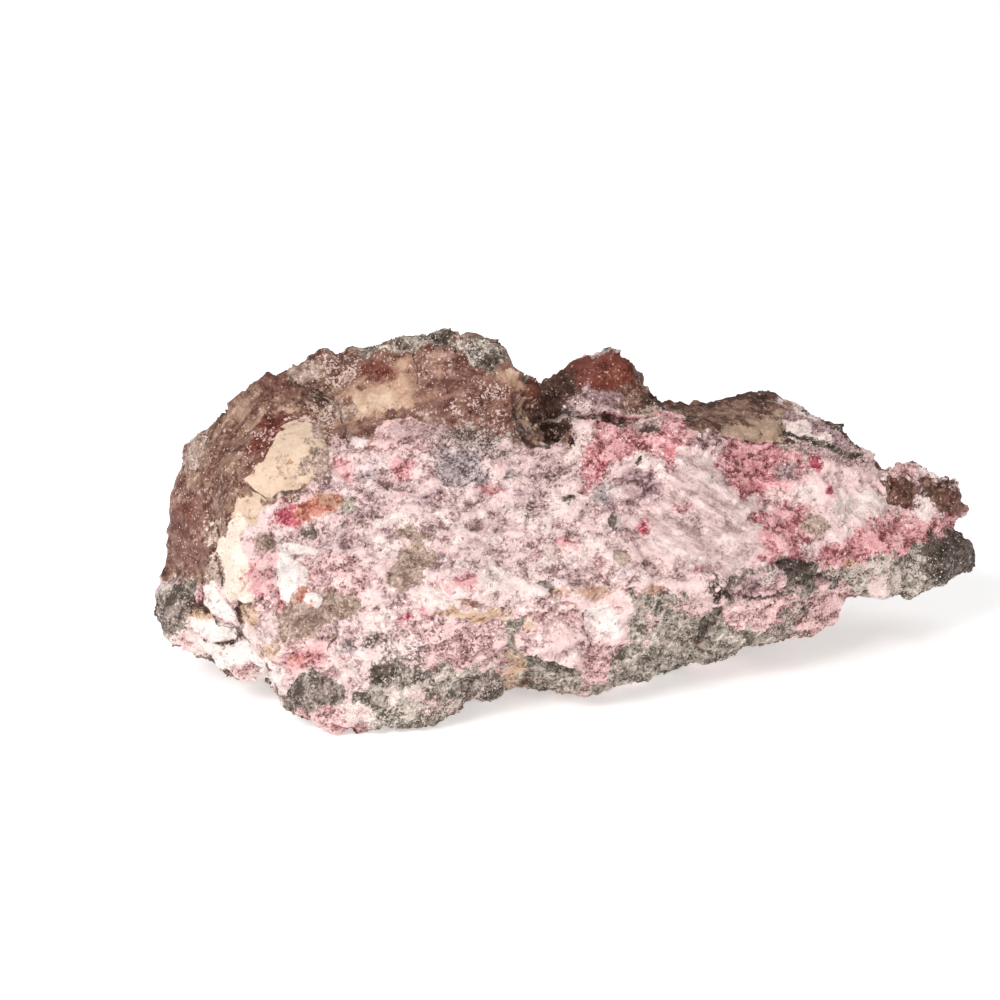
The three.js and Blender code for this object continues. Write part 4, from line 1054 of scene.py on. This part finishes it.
def grainTree(name, kind, values, material):
    tree, given = meshTree(name, values, "Grains")
    position = put("GeometryNodeInputPosition")

    def dice(low, high, seed, sort="FLOAT"):
        return put("FunctionNodeRandomValue", {"Min": low, "Max": high, "Seed": seed}, data_type=sort)

    share = mapTo(namedField(name), kind["from"], grain["full"])
    bald = minus(1.0, given["Patchiness"])
    share = times(share, mapTo(cloud(position, grain["patch"] * mm, 3.0), *grain["patchEdge"], bald, 1.0))
    density = times(times(given["Grains per mm2"], 1 / mm ** 2), share)
    strewn = put("GeometryNodeDistributePointsOnFaces",
                 {"Mesh": given["Stone"], "Density": density, "Seed": given["Seed"]}, distribute_method="RANDOM").node
    toned = stored(strewn.outputs["Points"], "tone", dice(given["Darkest"], given["Palest"], 5))
    if "frost" in kind:
        toned = stored(toned, "frost", kind["frost"])
    rounded = bool(kind.get("round"))
    ball = put("GeometryNodeMeshIcoSphere", {"Radius": .5, "Subdivisions": 2 if rounded else 1})
    depth = grain["roundDepth"] if rounded else grain["depth"]
    dent = shove(cloud(position, grain["dent"]).node.outputs["Color"], depth)
    ball = put("GeometryNodeSetPosition", {"Geometry": ball, "Offset": dent})
    ball = put("GeometryNodeSetShadeSmooth", {"Geometry": ball, "Shade Smooth": rounded})
    turn = dice((0, 0, 0), grain["turn"], 11, "FLOAT_VECTOR")
    size = dice(given["Smallest"], given["Largest"], 21)
    stretch = dice(*grain["stretch"], 31, "FLOAT_VECTOR")
    placed = put("GeometryNodeInstanceOnPoints", {"Points": toned, "Instance": ball, "Rotation": turn,
                                                  "Scale": vector("SCALE", stretch, scale=times(size, mm))})
    finishTree(placed, "Grains", material)
    return tree


grainPieces = []
for name, kind in grainKinds.items():
    values = {"Grains per mm2": kind["perMm2"], "Smallest": kind["size"][0], "Largest": kind["size"][1],
              "Darkest": grain["tones"][0], "Palest": grain["tones"][1],
              "Patchiness": kind.get("patchy", grain["patchy"]), "Seed": kind["seed"]}
    made = runTree(rock, grainTree(name, kind, values, finishRock), values)
    insideBox(made)
    piece = bpy.data.objects.new(name, made)
    bpy.context.scene.collection.objects.link(piece)
    grainPieces.append(piece)
    print(name, len(made.polygons), "triangles")

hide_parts(stone["node"])
for piece in [rock, *grainPieces]:
    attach(piece, "root")

# Studio: a pale floor, one large soft light above the camera's left, and fills
studio = {
    "floor": 6.0,  # m
    "drop": .0001,  # m, so that it and the flat the rock rests on aren't in one plane
    "world": .26,
    "glow": .46,
    "lights": [
        # name, place in m, size in m, power in W
        ("key", (-.9, -1.25, 1.15), .7, 25),
        ("fill", (1.3, -1.5, .5), 1.4, 13),
        ("top", (.1, .5, 1.7), 1.2, 7),
    ],
}


def plainMaterial(name, colour, rough, glow=0):
    material = bpy.data.materials.new(name)
    material.use_nodes = True
    shader = material.node_tree.nodes["Principled BSDF"]
    shader.inputs["Base Color"].default_value = (*colour, 1)
    shader.inputs["Roughness"].default_value = rough
    shader.inputs["Emission Color"].default_value = (1, 1, 1, 1)
    shader.inputs["Emission Strength"].default_value = glow
    return material


def studioFloor():
    half, low = studio["floor"] / 2, -studio["drop"]
    mesh = bpy.data.meshes.new("floor")
    corners = [(-half, -half, low), (half, -half, low), (half, half, low), (-half, half, low)]
    mesh.from_pydata(corners, [], [(0, 1, 2, 3)])
    mesh.materials.append(plainMaterial("pale_floor", (.92, .92, .92), .7, studio["glow"]))
    floor = bpy.data.objects.new("floor", mesh)
    bpy.context.scene.collection.objects.link(floor)
    return floor


studioFloor()
world = bpy.data.worlds.new("studio")
bpy.context.scene.world = world
world.use_nodes = True
world.node_tree.nodes["Background"].inputs["Color"].default_value = (1, .99, .98, 1)
world.node_tree.nodes["Background"].inputs["Strength"].default_value = studio["world"]
for name, place, size, power in studio["lights"]:
    lamp = bpy.data.lights.new(name, "AREA")
    lamp.energy, lamp.size = power, size
    light = bpy.data.objects.new(name, lamp)
    light.location = place
    light.rotation_euler = (Vector((0, 0, .03)) - Vector(place)).to_track_quat("-Z", "Y").to_euler()
    bpy.context.scene.collection.objects.link(light)
bpy.context.scene.view_settings.view_transform = "Standard"
print("studio lit")
